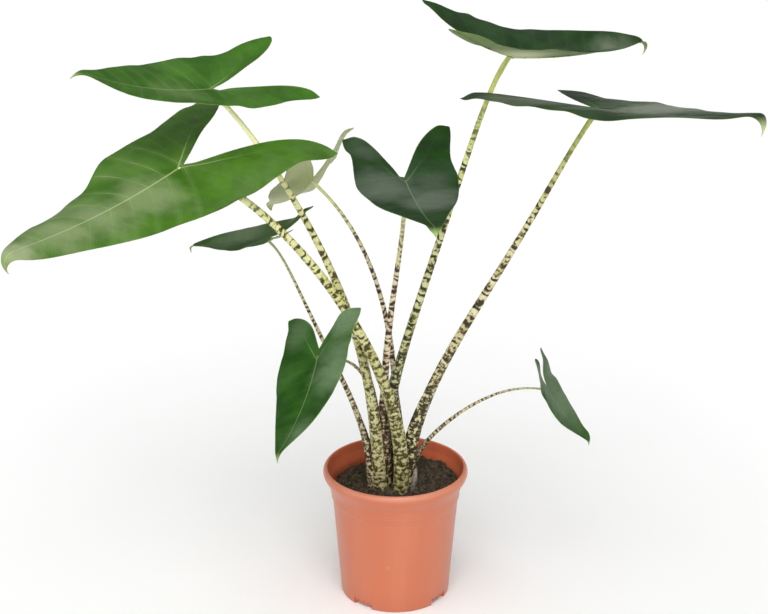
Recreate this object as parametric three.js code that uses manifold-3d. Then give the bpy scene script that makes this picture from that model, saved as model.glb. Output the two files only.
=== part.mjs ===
// Potted alocasia with zebra-barked stalks in a nursery pot.
// Millimetres, +Z up. The origin is the middle of the pot's underside.
// The plant is seen from the front when looking along +Y, with +X to the right.

import * as THREE from 'three';
import { mergeVertices } from 'three/addons/utils/BufferGeometryUtils.js';
import Module from 'manifold-3d';

const wasm = await Module();
wasm.setup();

// Driving dimensions of the pot
const POT_HEIGHT = 162;
const RIM_RADIUS = 85;
const BASE_RADIUS = 64.5;
const WALL = 1.5;
const POT_FLOOR = 2.5;
const BAND_BOTTOM = 115;
const BAND_TOP = 131;
const POT_SIDES = 48;
const NOTCH_COUNT = 4;
const NOTCH_HEIGHT = 9;
const NOTCH_WIDTH = 26;
const NOTCH_DEPTH = 11;
const FIRST_NOTCH = -127;

// Driving dimensions of the soil and of the stem buried in it
const SOIL_LEVEL = 134;
const SOIL_RELIEF = 2.2;
const SOIL_TILT = 0.05;
const SOIL_SIDES = 32;
const STEM_SIDES = 18;
const STEM_RADIUS = 25;
const STEM_TOP = 121;
const STEM_LENGTH = 52;
const STEM_RINGS = 4;

// Driving dimensions of every stalk and blade
const CLEARANCE = 0.3;
const STALK_FOOT = 110;
const STALK_SIDES = 10;
const STALK_STEPS = 18;
const STALK_TAPER = 1.35;
const BLADE_THICKNESS = 0.9;
const MIDRIB_HEIGHT = 1.5;
const LOBE_RIB_HEIGHT = 0.8;
const SIDE_RIB_HEIGHT = 0.45;
const SINUS = 0.07;
const FULLNESS = 0.43;
const WAIST = 0.06;
const HOOK_START = 0.86;
const LOBE_BEND = 0.4;
const WAVES = 2.6;
const WIDEST = 0.57;
const COLUMNS = [0, 0.09, 0.4, 0.72, 1];
const LOBE_RIB_COLUMN = 2;
const SPINE_STEPS = 90;

// Every leaf: where its blade sits on the stalk, which way the tip points (heading, pitch and
// roll in degrees), its outline in millimetres, and how it bends. Pairs are [left, right] of
// the midrib. The stalk runs from its foot in the soil through the pull of three bends.
const LEAVES = [
  {
    name: 'left_wide', sits: [-232, -60, 537], heading: 229, pitch: -17, roll: -7,
    length: 253, halfWidth: 86, lobe: 150, spread: 96, rows: 20,
    arch: 17, hook: 130, twist: 3, rise: [-13, -8], fold: [-1, 2], turn: [6, 2],
    cup: [13, 13], wave: 5, phase: [0.1, -0.23], green: 0x4c7f25,
    foot: [3, -15], bends: [[21, -19, 262], [-36, -31, 352], [-133, -46, 516]],
    thick: [8.8, 3.6], bark: 0xb9b25c,
  },
  {
    name: 'left_high', sits: [-203, 10, 607], heading: 216, pitch: 3, roll: -13,
    length: 172, halfWidth: 62, lobe: 110, spread: 53, rows: 18,
    arch: 25, hook: 59, twist: -3, rise: [-1, 18], fold: [12, 15], turn: [-3, 4],
    cup: [12, 13], wave: 3.4, phase: [0.03, -0.3], green: 0x477a28,
    foot: [-17, -8], bends: [[-27, -6, 274], [-23, -2, 329], [-125, 5, 537]],
    thick: [8, 3.3], bark: 0xbcb863,
  },
  {
    name: 'right_high', sits: [128, 25, 640], heading: 23, pitch: -7, roll: 2,
    length: 178, halfWidth: 74, lobe: 110, spread: 50, rows: 18,
    arch: 19, hook: 134, twist: -4, rise: [18, 14], fold: [25, 25], turn: [10, 3],
    cup: [16, 18], wave: 3.6, phase: [-0.45, -0.26], green: 0x2f4a26,
    foot: [-6, 14], bends: [[-45, 15, 255], [64, 18, 361], [77, 22, 621]],
    thick: [7.6, 2.8], bark: 0xaead5f,
  },
  {
    name: 'right_wide', sits: [211, -60, 602], heading: -51, pitch: 4, roll: -7,
    length: 228, halfWidth: 88, lobe: 131, spread: 78, rows: 20,
    arch: 10, hook: 116, twist: 4, rise: [1, -3], fold: [8, 7], turn: [3, 1],
    cup: [14, 14], wave: 2, phase: [-0.24, -0.23], green: 0x33492d,
    foot: [18, -6], bends: [[-12, -11, 268], [142, -25, 406], [152, -44, 510]],
    thick: [8.8, 2.6], bark: 0xaaa371,
  },
  {
    name: 'front_middle', sits: [10, -45, 518], heading: -80, pitch: -10, roll: -7,
    length: 155, halfWidth: 55, lobe: 92, spread: 55, rows: 16,
    arch: 16, hook: 46, twist: 2, rise: [21, 4], fold: [15, 5], turn: [4, 5],
    cup: [13, 18], wave: 3, phase: [-0.32, 0.27], green: 0x2c4a25,
    foot: [-13, 2], bends: [[-12, -3, 223], [-23, -14, 322], [6, -31, 412]],
    thick: [6.4, 2.2], bark: 0xa99c72,
  },
  {
    name: 'back_left', sits: [-96, 50, 493], heading: 122, pitch: -42, roll: -7,
    length: 113, halfWidth: 42, lobe: 73, spread: 36, rows: 14,
    arch: 29, hook: 72, twist: 8, rise: [7, 3], fold: [16, 19], turn: [1, 6],
    cup: [10, 6], wave: 2.3, phase: [0.08, -0.13], green: 0x6f8a52,
    foot: [7, 19], bends: [[-3, 22, 218], [9, 30, 307], [-18, 41, 426]],
    thick: [5.4, 1.8], bark: 0xa8976f,
  },
  {
    name: 'left_small', sits: [-149, 20, 434], heading: 155, pitch: -12, roll: -5,
    length: 108, halfWidth: 43, lobe: 61, spread: 32, rows: 14,
    arch: -2, hook: 90, twist: 1, rise: [16, 20], fold: [12, 13], turn: [5, 10],
    cup: [14, 14], wave: 2.2, phase: [-0.34, -0.24], green: 0x35502f,
    foot: [-29, -8], bends: [[-20, -5, 262], [-97, 2, 281], [-110, 12, 419]],
    thick: [5.2, 1.3], bark: 0x8f8a62,
  },
  {
    name: 'front_low', sits: [-86, -98, 334], heading: -102, pitch: -38, roll: 35,
    length: 139, halfWidth: 50, lobe: 59, spread: 43, rows: 16,
    arch: 24, hook: 37, twist: -7, rise: [-1, 13], fold: [7, 14], turn: [-10, 4],
    cup: [13, 10], wave: 1.1, phase: [-0.21, -0.19], green: 0x35562c,
    foot: [-25, 11], bends: [[-3, 42, 220], [-36, 49, 263], [-47, -17, 310]],
    thick: [4.2, 1.3], bark: 0x96855f,
  },
  {
    name: 'right_small', sits: [178, 5, 254], heading: -16, pitch: -57, roll: 0,
    length: 82, halfWidth: 34, lobe: 47, spread: 20, rows: 12,
    arch: 15, hook: 96, twist: 4, rise: [16, 14], fold: [12, 9], turn: [4, 7],
    cup: [14, 15], wave: 1.6, phase: [0.03, -0.24], green: 0x2f4f2b,
    foot: [25, 10], bends: [[-5, 10, 181], [69, 8, 211], [104, 7, 270]],
    thick: [4.4, 1.3], bark: 0x8a7c5c,
  },
];

const radians = THREE.MathUtils.degToRad;

// Rises smoothly from 0 at x = 0 to 1 at x = 1
function ease(x) {
  return THREE.MathUtils.smoothstep(x, 0, 1);
}

// A material with its colour and gloss
function finish(color, roughness) {
  return new THREE.MeshStandardMaterial({ color, roughness, metalness: 0, side: THREE.DoubleSide });
}

// Turns a closed geometry into a solid that can be joined and cut
function toSolid(geometry) {
  const bare = geometry.clone();
  bare.deleteAttribute('normal');
  bare.deleteAttribute('uv');
  const merged = mergeVertices(bare, 1e-4);
  const solid = new wasm.Mesh({
    numProp: 3,
    vertProperties: new Float32Array(merged.attributes.position.array),
    triVerts: new Uint32Array(merged.index.array),
  });
  return new wasm.Manifold(solid);
}

// Turns a solid back into a geometry, keeping its largest body
function toGeometry(solid) {
  const bodies = solid.decompose();
  const largest = bodies.reduce((a, b) => (a.volume() > b.volume() ? a : b));
  const mesh = largest.getMesh();
  const geometry = new THREE.BufferGeometry();
  geometry.setAttribute('position', new THREE.BufferAttribute(mesh.vertProperties, 3));
  geometry.setIndex(new THREE.BufferAttribute(mesh.triVerts, 1));
  return geometry;
}

// Cuts every solid in the list from the first one
function cutAll(solid, others) {
  return others.reduce((left, other) => left.subtract(other), solid);
}

// A solid of revolution round Z from a profile of [radius, height] points
function turned(profile, sides) {
  const points = profile.map(([radius, height]) => new THREE.Vector2(radius, height));
  const geometry = new THREE.LatheGeometry(points, sides);
  geometry.rotateX(Math.PI / 2);
  return geometry;
}

// The curve that a list of control points pulls from the first point to the last
class PulledCurve extends THREE.Curve {
  constructor(points) {
    super();
    this.points = points.map((p) => new THREE.Vector3(...p));
  }

  getPoint(t, target = new THREE.Vector3()) {
    let row = this.points.map((p) => p.clone());
    while (row.length > 1) {
      row = row.slice(1).map((p, i) => row[i].clone().lerp(p, t));
    }
    return target.copy(row[0]);
  }
}

// A closed round rod along a curve, whose radius changes along it and across its section
function rod(curve, radiusAt, steps, sides, flatness = 1) {
  const frames = curve.computeFrenetFrames(steps);
  const positions = [];
  const index = [];
  for (let i = 0; i <= steps; i += 1) {
    const centre = curve.getPointAt(i / steps);
    const radius = radiusAt(i / steps);
    for (let k = 0; k < sides; k += 1) {
      const angle = (2 * Math.PI * k) / sides;
      const point = centre.clone();
      point.addScaledVector(frames.normals[i], radius * Math.cos(angle));
      point.addScaledVector(frames.binormals[i], radius * flatness * Math.sin(angle));
      positions.push(...point.toArray());
    }
  }
  for (let i = 0; i < steps; i += 1) {
    for (let k = 0; k < sides; k += 1) {
      const a = i * sides + k;
      const b = i * sides + ((k + 1) % sides);
      index.push(a, b, b + sides, a, b + sides, a + sides);
    }
  }
  const last = steps * sides;
  for (let k = 1; k < sides - 1; k += 1) {
    index.push(0, k + 1, k, last, last + k, last + k + 1);
  }
  const geometry = new THREE.BufferGeometry();
  geometry.setAttribute('position', new THREE.Float32BufferAttribute(positions, 3));
  geometry.setIndex(index);
  return geometry;
}

// A point on the cubic curve through corners a and d with pulls b and c, as [x, y]
function cubic(a, b, c, d, t) {
  const s = 1 - t;
  const mix = (k) => s ** 3 * a[k] + 3 * s * s * t * b[k] + 3 * s * t * t * c[k] + t ** 3 * d[k];
  return [mix(0), mix(1)];
}

// The flat outline of half a blade. The edge runs from the tip round the outside to the end of
// the lobe. The inside runs from the tip down the midrib to the sinus and out along the lobe.
// Half the rows lie before the widest point and half behind it. The share of the edge that is
// passed, which the waves follow, is returned as u.
function halfOutline(leaf, row) {
  const front = row / leaf.rows <= 0.5;
  const t = front ? (2 * row) / leaf.rows : (2 * row) / leaf.rows - 1;
  const { length, halfWidth, lobe, spread } = leaf;
  const tip = [0, length];
  const widest = [halfWidth, 0];
  const end = [spread, -lobe];
  const sinus = [0, -SINUS * length];
  if (front) {
    return {
      u: WIDEST * t,
      edge: cubic(tip, [0.015 * length, 0.88 * length], [halfWidth, FULLNESS * length], widest, t),
      inside: [0, length + (sinus[1] - length) * t],
    };
  }
  return {
    u: WIDEST + (1 - WIDEST) * t,
    edge: cubic(widest, [halfWidth, -0.35 * lobe], [spread + WAIST * length, -0.65 * lobe], end, t),
    inside: cubic(
      sinus,
      [0.05 * length, sinus[1] - 0.18 * lobe],
      [spread - 0.13 * length, -lobe - 0.03 * length],
      end,
      t,
    ),
  };
}

// The slope of the midrib line at distance y from the stalk, in radians above the blade's plane.
// Behind the stalk the two sides bend alike as far as the sinus, and each by its own rise after it.
function spineAngle(leaf, side, y) {
  const s = y / leaf.length;
  if (s >= 0) {
    return radians(leaf.arch) * s - radians(leaf.hook) * ease((s - HOOK_START) / (1 - HOOK_START));
  }
  const shared = (leaf.rise[0] + leaf.rise[1]) / 2;
  return -radians(-s < SINUS ? shared : leaf.rise[side]) * ease(-s / LOBE_BEND);
}

// Where the midrib line of one side of a blade is at distance y, added up in short steps
function spinePoint(leaf, side, y) {
  let along = 0;
  let up = 0;
  const step = y / SPINE_STEPS;
  for (let i = 0; i < SPINE_STEPS; i += 1) {
    const angle = spineAngle(leaf, side, (i + 0.5) * step);
    along += Math.cos(angle) * step;
    up += Math.sin(angle) * step;
  }
  return { along, up, angle: spineAngle(leaf, side, y) };
}

// The forward, left and up directions of a blade at its stalk
function bladeAxes(leaf) {
  const h = radians(leaf.heading);
  const p = radians(leaf.pitch);
  const r = radians(leaf.roll);
  const forward = new THREE.Vector3(
    Math.cos(h) * Math.cos(p),
    Math.sin(h) * Math.cos(p),
    Math.sin(p),
  );
  const level = new THREE.Vector3(-Math.sin(h), Math.cos(h), 0);
  const above = forward.clone().cross(level);
  const left = level.clone().multiplyScalar(Math.cos(r)).addScaledVector(above, Math.sin(r));
  const up = above.clone().multiplyScalar(Math.cos(r)).addScaledVector(level, -Math.sin(r));
  return { forward, left, up };
}

// Bends the flat point [x, y] of a half blade into space. Across the blade the section starts
// at the fold angle and curls down by the cup angle over the half width, and the edge waves.
function bendPoint(leaf, side, axes, flat, u) {
  const [x, y] = flat;
  const { along, up, angle } = spinePoint(leaf, side, y);
  const fold = radians(leaf.fold[side] + leaf.turn[side] * ease(-y / (LOBE_BEND * leaf.length)));
  const curl = radians(leaf.cup[side]) / leaf.halfWidth;
  const out = (Math.sin(fold) - Math.sin(fold - curl * x)) / curl;
  const swell = leaf.wave * (x / leaf.halfWidth) ** 2 * Math.min(1, 5 * (1 - u));
  const ripple = swell * Math.sin(2 * Math.PI * (WAVES * u + leaf.phase[side]));
  const lift = (Math.cos(fold - curl * x) - Math.cos(fold)) / curl + ripple;
  const turn = (radians(leaf.twist) * y) / leaf.length;
  const sign = side === 0 ? 1 : -1;
  const across = sign * out * Math.cos(turn) - lift * Math.sin(turn);
  const above = sign * out * Math.sin(turn) + lift * Math.cos(turn);
  return new THREE.Vector3(...leaf.sits)
    .addScaledVector(axes.forward, along - Math.sin(angle) * above)
    .addScaledVector(axes.left, across)
    .addScaledVector(axes.up, up + Math.cos(angle) * above);
}

// How far the ribs stand out under the blade at a row and column of its grid
function ribHeight(leaf, row, column) {
  const half = leaf.rows / 2;
  const towardsTip = Math.min(1, row / half + 0.15);
  if (row <= half && column === 0) {
    return MIDRIB_HEIGHT * towardsTip;
  }
  if (row > half && column === LOBE_RIB_COLUMN) {
    return (LOBE_RIB_HEIGHT * (leaf.rows - row)) / half;
  }
  const sideRib = row % 2 === 0 && row > 1 && column > 0 && column < COLUMNS.length - 1;
  return sideRib && row < leaf.rows ? SIDE_RIB_HEIGHT : 0;
}

// The upper face of a blade as one open sheet, with the rib height of each vertex
function bladeSheet(leaf) {
  const axes = bladeAxes(leaf);
  const positions = [];
  const ribs = [];
  const index = [];
  const across = COLUMNS.length;
  for (const side of [0, 1]) {
    const first = positions.length / 3;
    for (let row = 0; row <= leaf.rows; row += 1) {
      const { u, edge, inside } = halfOutline(leaf, row);
      COLUMNS.forEach((v, column) => {
        const flat = [0, 1].map((k) => inside[k] * (1 - v) + edge[k] * v);
        const point = bendPoint(leaf, side, axes, flat, u);
        positions.push(...point.toArray());
        ribs.push(ribHeight(leaf, row, column));
      });
    }
    for (let row = 0; row < leaf.rows; row += 1) {
      for (let column = 0; column < across - 1; column += 1) {
        const a = first + row * across + column;
        const quad = [[a, a + 1, a + across], [a + 1, a + across + 1, a + across]];
        for (const [p, q, r] of quad) {
          index.push(...(side === 0 ? [p, q, r] : [p, r, q]));
        }
      }
    }
  }
  const sheet = new THREE.BufferGeometry();
  sheet.setAttribute('position', new THREE.Float32BufferAttribute(positions, 3));
  sheet.setAttribute('rib', new THREE.Float32BufferAttribute(ribs, 1));
  sheet.setIndex(index);
  return mergeVertices(sheet, 1e-3);
}

// Gives an open sheet its thickness downwards, and closes it along every free edge
function thicken(sheet, above, below) {
  sheet.computeVertexNormals();
  const top = sheet.attributes.position;
  const normal = sheet.attributes.normal;
  const rib = sheet.attributes.rib;
  const count = top.count;
  const positions = [];
  for (const [sign, offset] of [[1, () => above], [-1, (i) => below + rib.getX(i)]]) {
    for (let i = 0; i < count; i += 1) {
      const point = new THREE.Vector3().fromBufferAttribute(top, i);
      const along = new THREE.Vector3().fromBufferAttribute(normal, i);
      positions.push(...point.addScaledVector(along, sign * offset(i)).toArray());
    }
  }
  const faces = [];
  const freeEdges = new Map();
  for (let i = 0; i < sheet.index.count; i += 3) {
    const [a, b, c] = [0, 1, 2].map((k) => sheet.index.getX(i + k));
    if (a !== b && b !== c && c !== a) {
      faces.push(a, b, c, c + count, b + count, a + count);
      for (const [p, q] of [[a, b], [b, c], [c, a]]) {
        const key = `${Math.min(p, q)}_${Math.max(p, q)}`;
        if (!freeEdges.delete(key)) {
          freeEdges.set(key, [p, q]);
        }
      }
    }
  }
  for (const [p, q] of freeEdges.values()) {
    faces.push(q, p, p + count, q, p + count, q + count);
  }
  const geometry = new THREE.BufferGeometry();
  geometry.setAttribute('position', new THREE.Float32BufferAttribute(positions, 3));
  geometry.setIndex(faces);
  return geometry;
}

// The curve and the radius of a leaf's stalk, widened by a margin
function stalkGeometry(leaf, margin) {
  const curve = new PulledCurve([[...leaf.foot, STALK_FOOT], ...leaf.bends, leaf.sits]);
  const [low, high] = leaf.thick;
  const radiusAt = (t) => high + (low - high) * (1 - t) ** STALK_TAPER + margin;
  return rod(curve, radiusAt, STALK_STEPS, STALK_SIDES);
}

// The pot's outline: up the outside, round the rolled lip, and down the inside to the floor
function potProfile() {
  const bandRadius = RIM_RADIUS - 8.9;
  const neckRadius = RIM_RADIUS - 11.6;
  return [
    [0, 0],
    [BASE_RADIUS - 2.2, 0],
    [BASE_RADIUS - 0.6, 0.6],
    [BASE_RADIUS, 2.2],
    [neckRadius, BAND_BOTTOM],
    [neckRadius + 0.5, BAND_BOTTOM + 4],
    [bandRadius - 0.5, BAND_TOP - 6],
    [bandRadius, BAND_TOP],
    [bandRadius + 1.7, BAND_TOP + 6],
    [RIM_RADIUS - 3.6, BAND_TOP + 12],
    [RIM_RADIUS - 0.9, BAND_TOP + 17],
    [RIM_RADIUS, POT_HEIGHT - 7.5],
    [RIM_RADIUS - 0.5, POT_HEIGHT - 3],
    [RIM_RADIUS - 1.8, POT_HEIGHT - 0.7],
    [RIM_RADIUS - 3, POT_HEIGHT],
    [RIM_RADIUS - 4, POT_HEIGHT - 0.9],
    [RIM_RADIUS - 5.6, POT_HEIGHT - 12],
    [bandRadius - WALL + 0.8, BAND_TOP + 6],
    [bandRadius - WALL, BAND_TOP],
    [neckRadius - WALL, BAND_BOTTOM],
    [BASE_RADIUS - WALL + 0.1, POT_FLOOR + 2],
    [BASE_RADIUS - WALL - 2, POT_FLOOR],
    [0, POT_FLOOR],
  ];
}

// The radius of the pot's inside at a height, for what fills it
function insideRadius(height) {
  const top = RIM_RADIUS - 11.6 - WALL;
  const bottom = BASE_RADIUS - WALL + 0.1;
  const share = (height - POT_FLOOR - 2) / (BAND_BOTTOM - POT_FLOOR - 2);
  return bottom + (top - bottom) * share;
}

// The block that cuts one drainage notch out of the foot of the wall, leaning as a wedge
function notchBlock(number) {
  const outline = new THREE.Shape();
  outline.moveTo(-NOTCH_WIDTH / 2, -1);
  outline.lineTo(NOTCH_WIDTH / 2, -1);
  outline.lineTo(NOTCH_WIDTH / 2 - 2.5, NOTCH_HEIGHT * 0.55);
  outline.lineTo(NOTCH_WIDTH / 2 - 4, NOTCH_HEIGHT);
  outline.lineTo(-NOTCH_WIDTH / 2 + 4, NOTCH_HEIGHT);
  outline.lineTo(-NOTCH_WIDTH / 2 + 2.5, NOTCH_HEIGHT * 0.55);
  outline.closePath();
  const block = new THREE.ExtrudeGeometry(outline, { depth: 2 * NOTCH_DEPTH, bevelEnabled: false });
  block.rotateX(Math.PI / 2);
  block.rotateZ(Math.PI / 2);
  block.translate(BASE_RADIUS - NOTCH_DEPTH, 0, 0);
  block.rotateZ(radians(FIRST_NOTCH + (360 / NOTCH_COUNT) * number));
  return block;
}

// The inner hood that roofs a notch, so that the soil stays in and water runs out
function notchHood(number) {
  const width = NOTCH_WIDTH + 2 * WALL;
  const height = NOTCH_HEIGHT + WALL;
  const hood = new THREE.BoxGeometry(NOTCH_DEPTH + WALL, width, height);
  hood.translate(BASE_RADIUS - (NOTCH_DEPTH + WALL) / 2 - WALL / 2, 0, height / 2);
  hood.rotateZ(radians(FIRST_NOTCH + (360 / NOTCH_COUNT) * number));
  return hood;
}

// The pot with its drainage notches and hoods
function makePot() {
  let pot = toSolid(turned(potProfile(), POT_SIDES));
  for (let i = 0; i < NOTCH_COUNT; i += 1) {
    pot = pot.add(toSolid(notchHood(i)));
    pot = pot.subtract(toSolid(notchBlock(i)));
  }
  return pot;
}

// How high the soil stands above its level at a place: it is crumbly and higher to the right
function soilRelief(x, y) {
  const crumbs = Math.sin(0.31 * x + 1.3) * Math.cos(0.27 * y) + 0.6 * Math.sin(0.19 * (x - y));
  return SOIL_RELIEF * crumbs + SOIL_TILT * x;
}

// The soil: it fills the pot to its level, and its top is uneven
function makeSoil(pot) {
  const wallGap = 2 * CLEARANCE;
  const floor = POT_FLOOR + CLEARANCE;
  const rings = [70.5, 62, 53, 44, 35, 26, 14, 0];
  const profile = [
    [0, floor],
    [BASE_RADIUS - WALL - 3, floor],
    [insideRadius(floor + 2) - wallGap, floor + 2],
    [insideRadius(BAND_BOTTOM) - wallGap, BAND_BOTTOM],
    ...rings.map((radius) => [radius, SOIL_LEVEL]),
  ];
  const soil = turned(profile, SOIL_SIDES);
  const place = soil.attributes.position;
  for (let i = 0; i < place.count; i += 1) {
    if (place.getZ(i) > SOIL_LEVEL - 1) {
      place.setZ(i, SOIL_LEVEL + soilRelief(place.getX(i), place.getY(i)));
    }
  }
  let solid = toSolid(soil);
  for (let i = 0; i < NOTCH_COUNT; i += 1) {
    const grown = notchHood(i).scale(1.012, 1.012, 1.05);
    solid = solid.subtract(toSolid(grown));
  }
  return solid.subtract(pot);
}

// The short upright stem under the soil, ringed by old leaf scars, widened by a margin
function makeStem(margin) {
  const bottom = STEM_TOP - STEM_LENGTH;
  const profile = [[0, bottom - margin], [STEM_RADIUS * 0.45 + margin, bottom - margin]];
  for (let i = 0; i < STEM_RINGS; i += 1) {
    const height = bottom + 5 + (i * (STEM_LENGTH - 16)) / STEM_RINGS;
    const radius = STEM_RADIUS * (0.8 + (0.2 * i) / STEM_RINGS);
    profile.push([radius + margin, height], [radius - 1.2 + margin, height + 4]);
  }
  profile.push(
    [STEM_RADIUS + margin, STEM_TOP - 11],
    [STEM_RADIUS * 0.8 + margin, STEM_TOP - 3 + margin],
    [STEM_RADIUS * 0.4 + margin, STEM_TOP + margin],
    [0, STEM_TOP + margin],
  );
  return toSolid(turned(profile, STEM_SIDES));
}

// The dried stub of an old leaf's sheath, a flat curled tongue beside the stalks
function sheathGeometry(margin) {
  const curve = new PulledCurve([[22, -19, 122], [22, -20, 140], [24, -20, 150], [27, -18, 163]]);
  const radiusAt = (t) => 5.6 * (1 - t) ** 0.7 + 0.9 + margin;
  return rod(curve, radiusAt, 8, 8, 0.4);
}

const plant = new THREE.Group();

// Adds a named piece to the plant
function addPiece(name, geometry, color, roughness) {
  const bare = geometry.clone();
  bare.deleteAttribute('normal');
  bare.computeVertexNormals();
  const mesh = new THREE.Mesh(bare, finish(color, roughness));
  mesh.name = name;
  plant.add(mesh);
}

const pot = makePot();
addPiece('pot', toGeometry(pot), 0xcf765a, 0.45);

const stem = makeStem(0);
const grownStem = makeStem(CLEARANCE);
addPiece('stem', toGeometry(stem), 0x6b5138, 0.9);

// Each stalk gives way to the stalks before it in the list, as sheaths do
const grownStalks = LEAVES.map((leaf) => toSolid(stalkGeometry(leaf, CLEARANCE)));
LEAVES.forEach((leaf, number) => {
  const sheet = bladeSheet(leaf);
  const blade = thicken(sheet, 0, BLADE_THICKNESS);
  addPiece(`blade_${leaf.name}`, blade, leaf.green, 0.35);
  const around = toSolid(thicken(sheet, CLEARANCE, BLADE_THICKNESS + CLEARANCE));
  const stalk = toSolid(stalkGeometry(leaf, 0));
  const trimmed = cutAll(stalk, [...grownStalks.slice(0, number), grownStem, around]);
  addPiece(`stalk_${leaf.name}`, toGeometry(trimmed), leaf.bark, 0.5);
});

const sheath = cutAll(toSolid(sheathGeometry(0)), [...grownStalks, grownStem]);
addPiece('spent_sheath', toGeometry(sheath), 0x8c7f6a, 0.9);

const planted = [...grownStalks, grownStem, toSolid(sheathGeometry(CLEARANCE))];
addPiece('soil', toGeometry(cutAll(makeSoil(pot), planted)), 0x2b211a, 0.95);

export default plant;
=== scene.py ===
"""Looks of a potted alocasia with zebra-banded stalks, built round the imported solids.

Lengths are in millimetres in the classes and become metres when a mesh is made. The frame is
the part's own: +Z up, the middle of the pot's underside at the origin, seen from the front
along +Y. Every surface is worked out with numpy as a function of two parameters.
"""

import logging
import math
from dataclasses import dataclass, replace
from enum import Enum
from itertools import combinations

import bpy
import numpy as np
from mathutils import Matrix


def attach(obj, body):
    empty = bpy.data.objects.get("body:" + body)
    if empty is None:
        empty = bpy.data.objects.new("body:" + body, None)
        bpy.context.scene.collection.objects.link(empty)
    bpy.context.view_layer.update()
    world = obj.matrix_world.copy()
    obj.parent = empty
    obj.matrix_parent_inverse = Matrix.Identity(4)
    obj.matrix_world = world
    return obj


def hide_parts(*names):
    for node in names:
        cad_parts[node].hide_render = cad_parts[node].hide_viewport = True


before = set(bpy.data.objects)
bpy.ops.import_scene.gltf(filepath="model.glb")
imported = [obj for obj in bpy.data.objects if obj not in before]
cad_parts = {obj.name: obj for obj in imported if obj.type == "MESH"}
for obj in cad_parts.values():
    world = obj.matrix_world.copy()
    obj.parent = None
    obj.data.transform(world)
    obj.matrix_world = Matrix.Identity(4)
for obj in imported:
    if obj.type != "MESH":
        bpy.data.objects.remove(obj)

Array = np.ndarray
Socket = bpy.types.NodeSocket
Material = bpy.types.Material
Piece = bpy.types.Object
MM = 0.001
TURN = 2 * math.pi
LOG = logging.getLogger("alocasia")

# The blade's flat pattern and its waves, shared by all leaves. The grid is that of the
# longest blade: rows before and behind the widest place, and columns of each half.
FULLNESS = 0.43
WAIST = 0.06
HOOK_START = 0.86
LOBE_BEND = 0.4
WAVES = 2.6
WIDEST = 0.57
FIRST_VEIN = -0.3
BLADE_THICKNESS = 0.9
LONGEST_BLADE = 253.0
BLADE_GRID = (132, 88, 44)

# How far the midrib, a lobe rib and a side vein of the longest blade stand out below and are
# sunk above, in millimetres
RAISED = (2.4, 1.5, 0.45)
SUNK = (0.7, 0.3, 0.12)

# The stalks: where they start, how they thin out, and how much of them the sheath covers
STALK_FOOT = 110.0
STALK_TAPER = 1.35
SHEATH_SHARE = 0.36

# The pot, the soil and the stem in it
POT_HEIGHT = 162.0
RIM_RADIUS = 85.0
BASE_RADIUS = 64.5
WALL = 1.5
POT_FLOOR = 2.5
BAND_BOTTOM = 115.0
BAND_TOP = 131.0
FIRST_NOTCH = -127.0
SOIL_LEVEL = 134.0


def ease(x: Array) -> Array:
    """Rises smoothly from 0 at x = 0 to 1 at x = 1, as 3x^2 - 2x^3."""
    x = np.clip(x, 0.0, 1.0)
    return x * x * (3 - 2 * x)


def linear(code: int) -> tuple[float, float, float, float]:
    """A screen colour written as 0xRRGGBB, as the linear colour that a shader takes.

    Args:
        code: The colour as it looks on a screen.

    Returns:
        Red, green, blue and an alpha of 1.
    """
    parts = [((code >> shift) & 255) / 255 for shift in (16, 8, 0)]
    return (*[p / 12.92 if p <= 0.04045 else ((p + 0.055) / 1.055) ** 2.4 for p in parts], 1.0)


def lattice_noise(points: Array, size: float, seed: int) -> Array:
    """Smooth noise from -1 to 1: random values on a cubic lattice, blended with eased weights.

    Args:
        points: Places in millimetres, with x, y and z last.
        size: Spacing of the lattice in millimetres.
        seed: Start of the random values.

    Returns:
        One value for each place.
    """
    table = np.random.default_rng(seed).uniform(-1, 1, 4096)
    cell = points / size
    base = np.floor(cell).astype(np.int64)
    part = ease(cell - base)
    total = np.zeros(points.shape[:-1])
    for corner in range(8):
        step = np.array([(corner >> k) & 1 for k in range(3)])
        key = base + step
        place = key[..., 0] * 73856093 ^ key[..., 1] * 19349663 ^ key[..., 2] * 83492791
        total += np.prod(np.where(step, part, 1 - part), axis=-1) * table[place & 4095]
    return total


def rough_noise(points: Array, size: float, seed: int, layers: int = 3) -> Array:
    """Lattice noise in layers, each of half the size and half the strength of the one before.

    Args:
        points: Places in millimetres, with x, y and z last.
        size: Spacing of the coarsest lattice in millimetres.
        seed: Start of the random values.
        layers: Number of layers.

    Returns:
        One value for each place, mostly between -1 and 1.
    """
    return sum(lattice_noise(points, size / 2**k, seed + k) / 2**k for k in range(layers))


def flat_points(x: Array, y: Array) -> Array:
    """Puts two arrays of coordinates together as places at height 0."""
    return np.stack([x, y, np.zeros_like(x)], axis=-1)


def cubic(corners: list[tuple[float, float]], t: Array) -> Array:
    """Points on the cubic Bezier curve with four control points, at shares t of it.

    Args:
        corners: The four control points.
        t: Shares from 0 to 1.

    Returns:
        An array of points, one row for each t.
    """
    a, b, c, d = (np.asarray(p, float) for p in corners)
    t = t[:, None]
    s = 1 - t
    return s**3 * a + 3 * s * s * t * b + 3 * s * t * t * c + t**3 * d


def pulled_curve(points: Array, t: Array) -> Array:
    """Points on the Bezier curve of any number of control points, by repeated blending.

    Args:
        points: The control points, one in each row.
        t: Shares from 0 to 1.

    Returns:
        An array of points, one row for each t.
    """
    row = np.repeat(np.asarray(points, float)[None], len(t), axis=0)
    while row.shape[1] > 1:
        row = row[:, :-1] * (1 - t)[:, None, None] + row[:, 1:] * t[:, None, None]
    return row[:, 0]


def unit(vectors: Array) -> Array:
    """Vectors of length 1 in the same directions."""
    return vectors / np.maximum(np.linalg.norm(vectors, axis=-1, keepdims=True), 1e-9)


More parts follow.
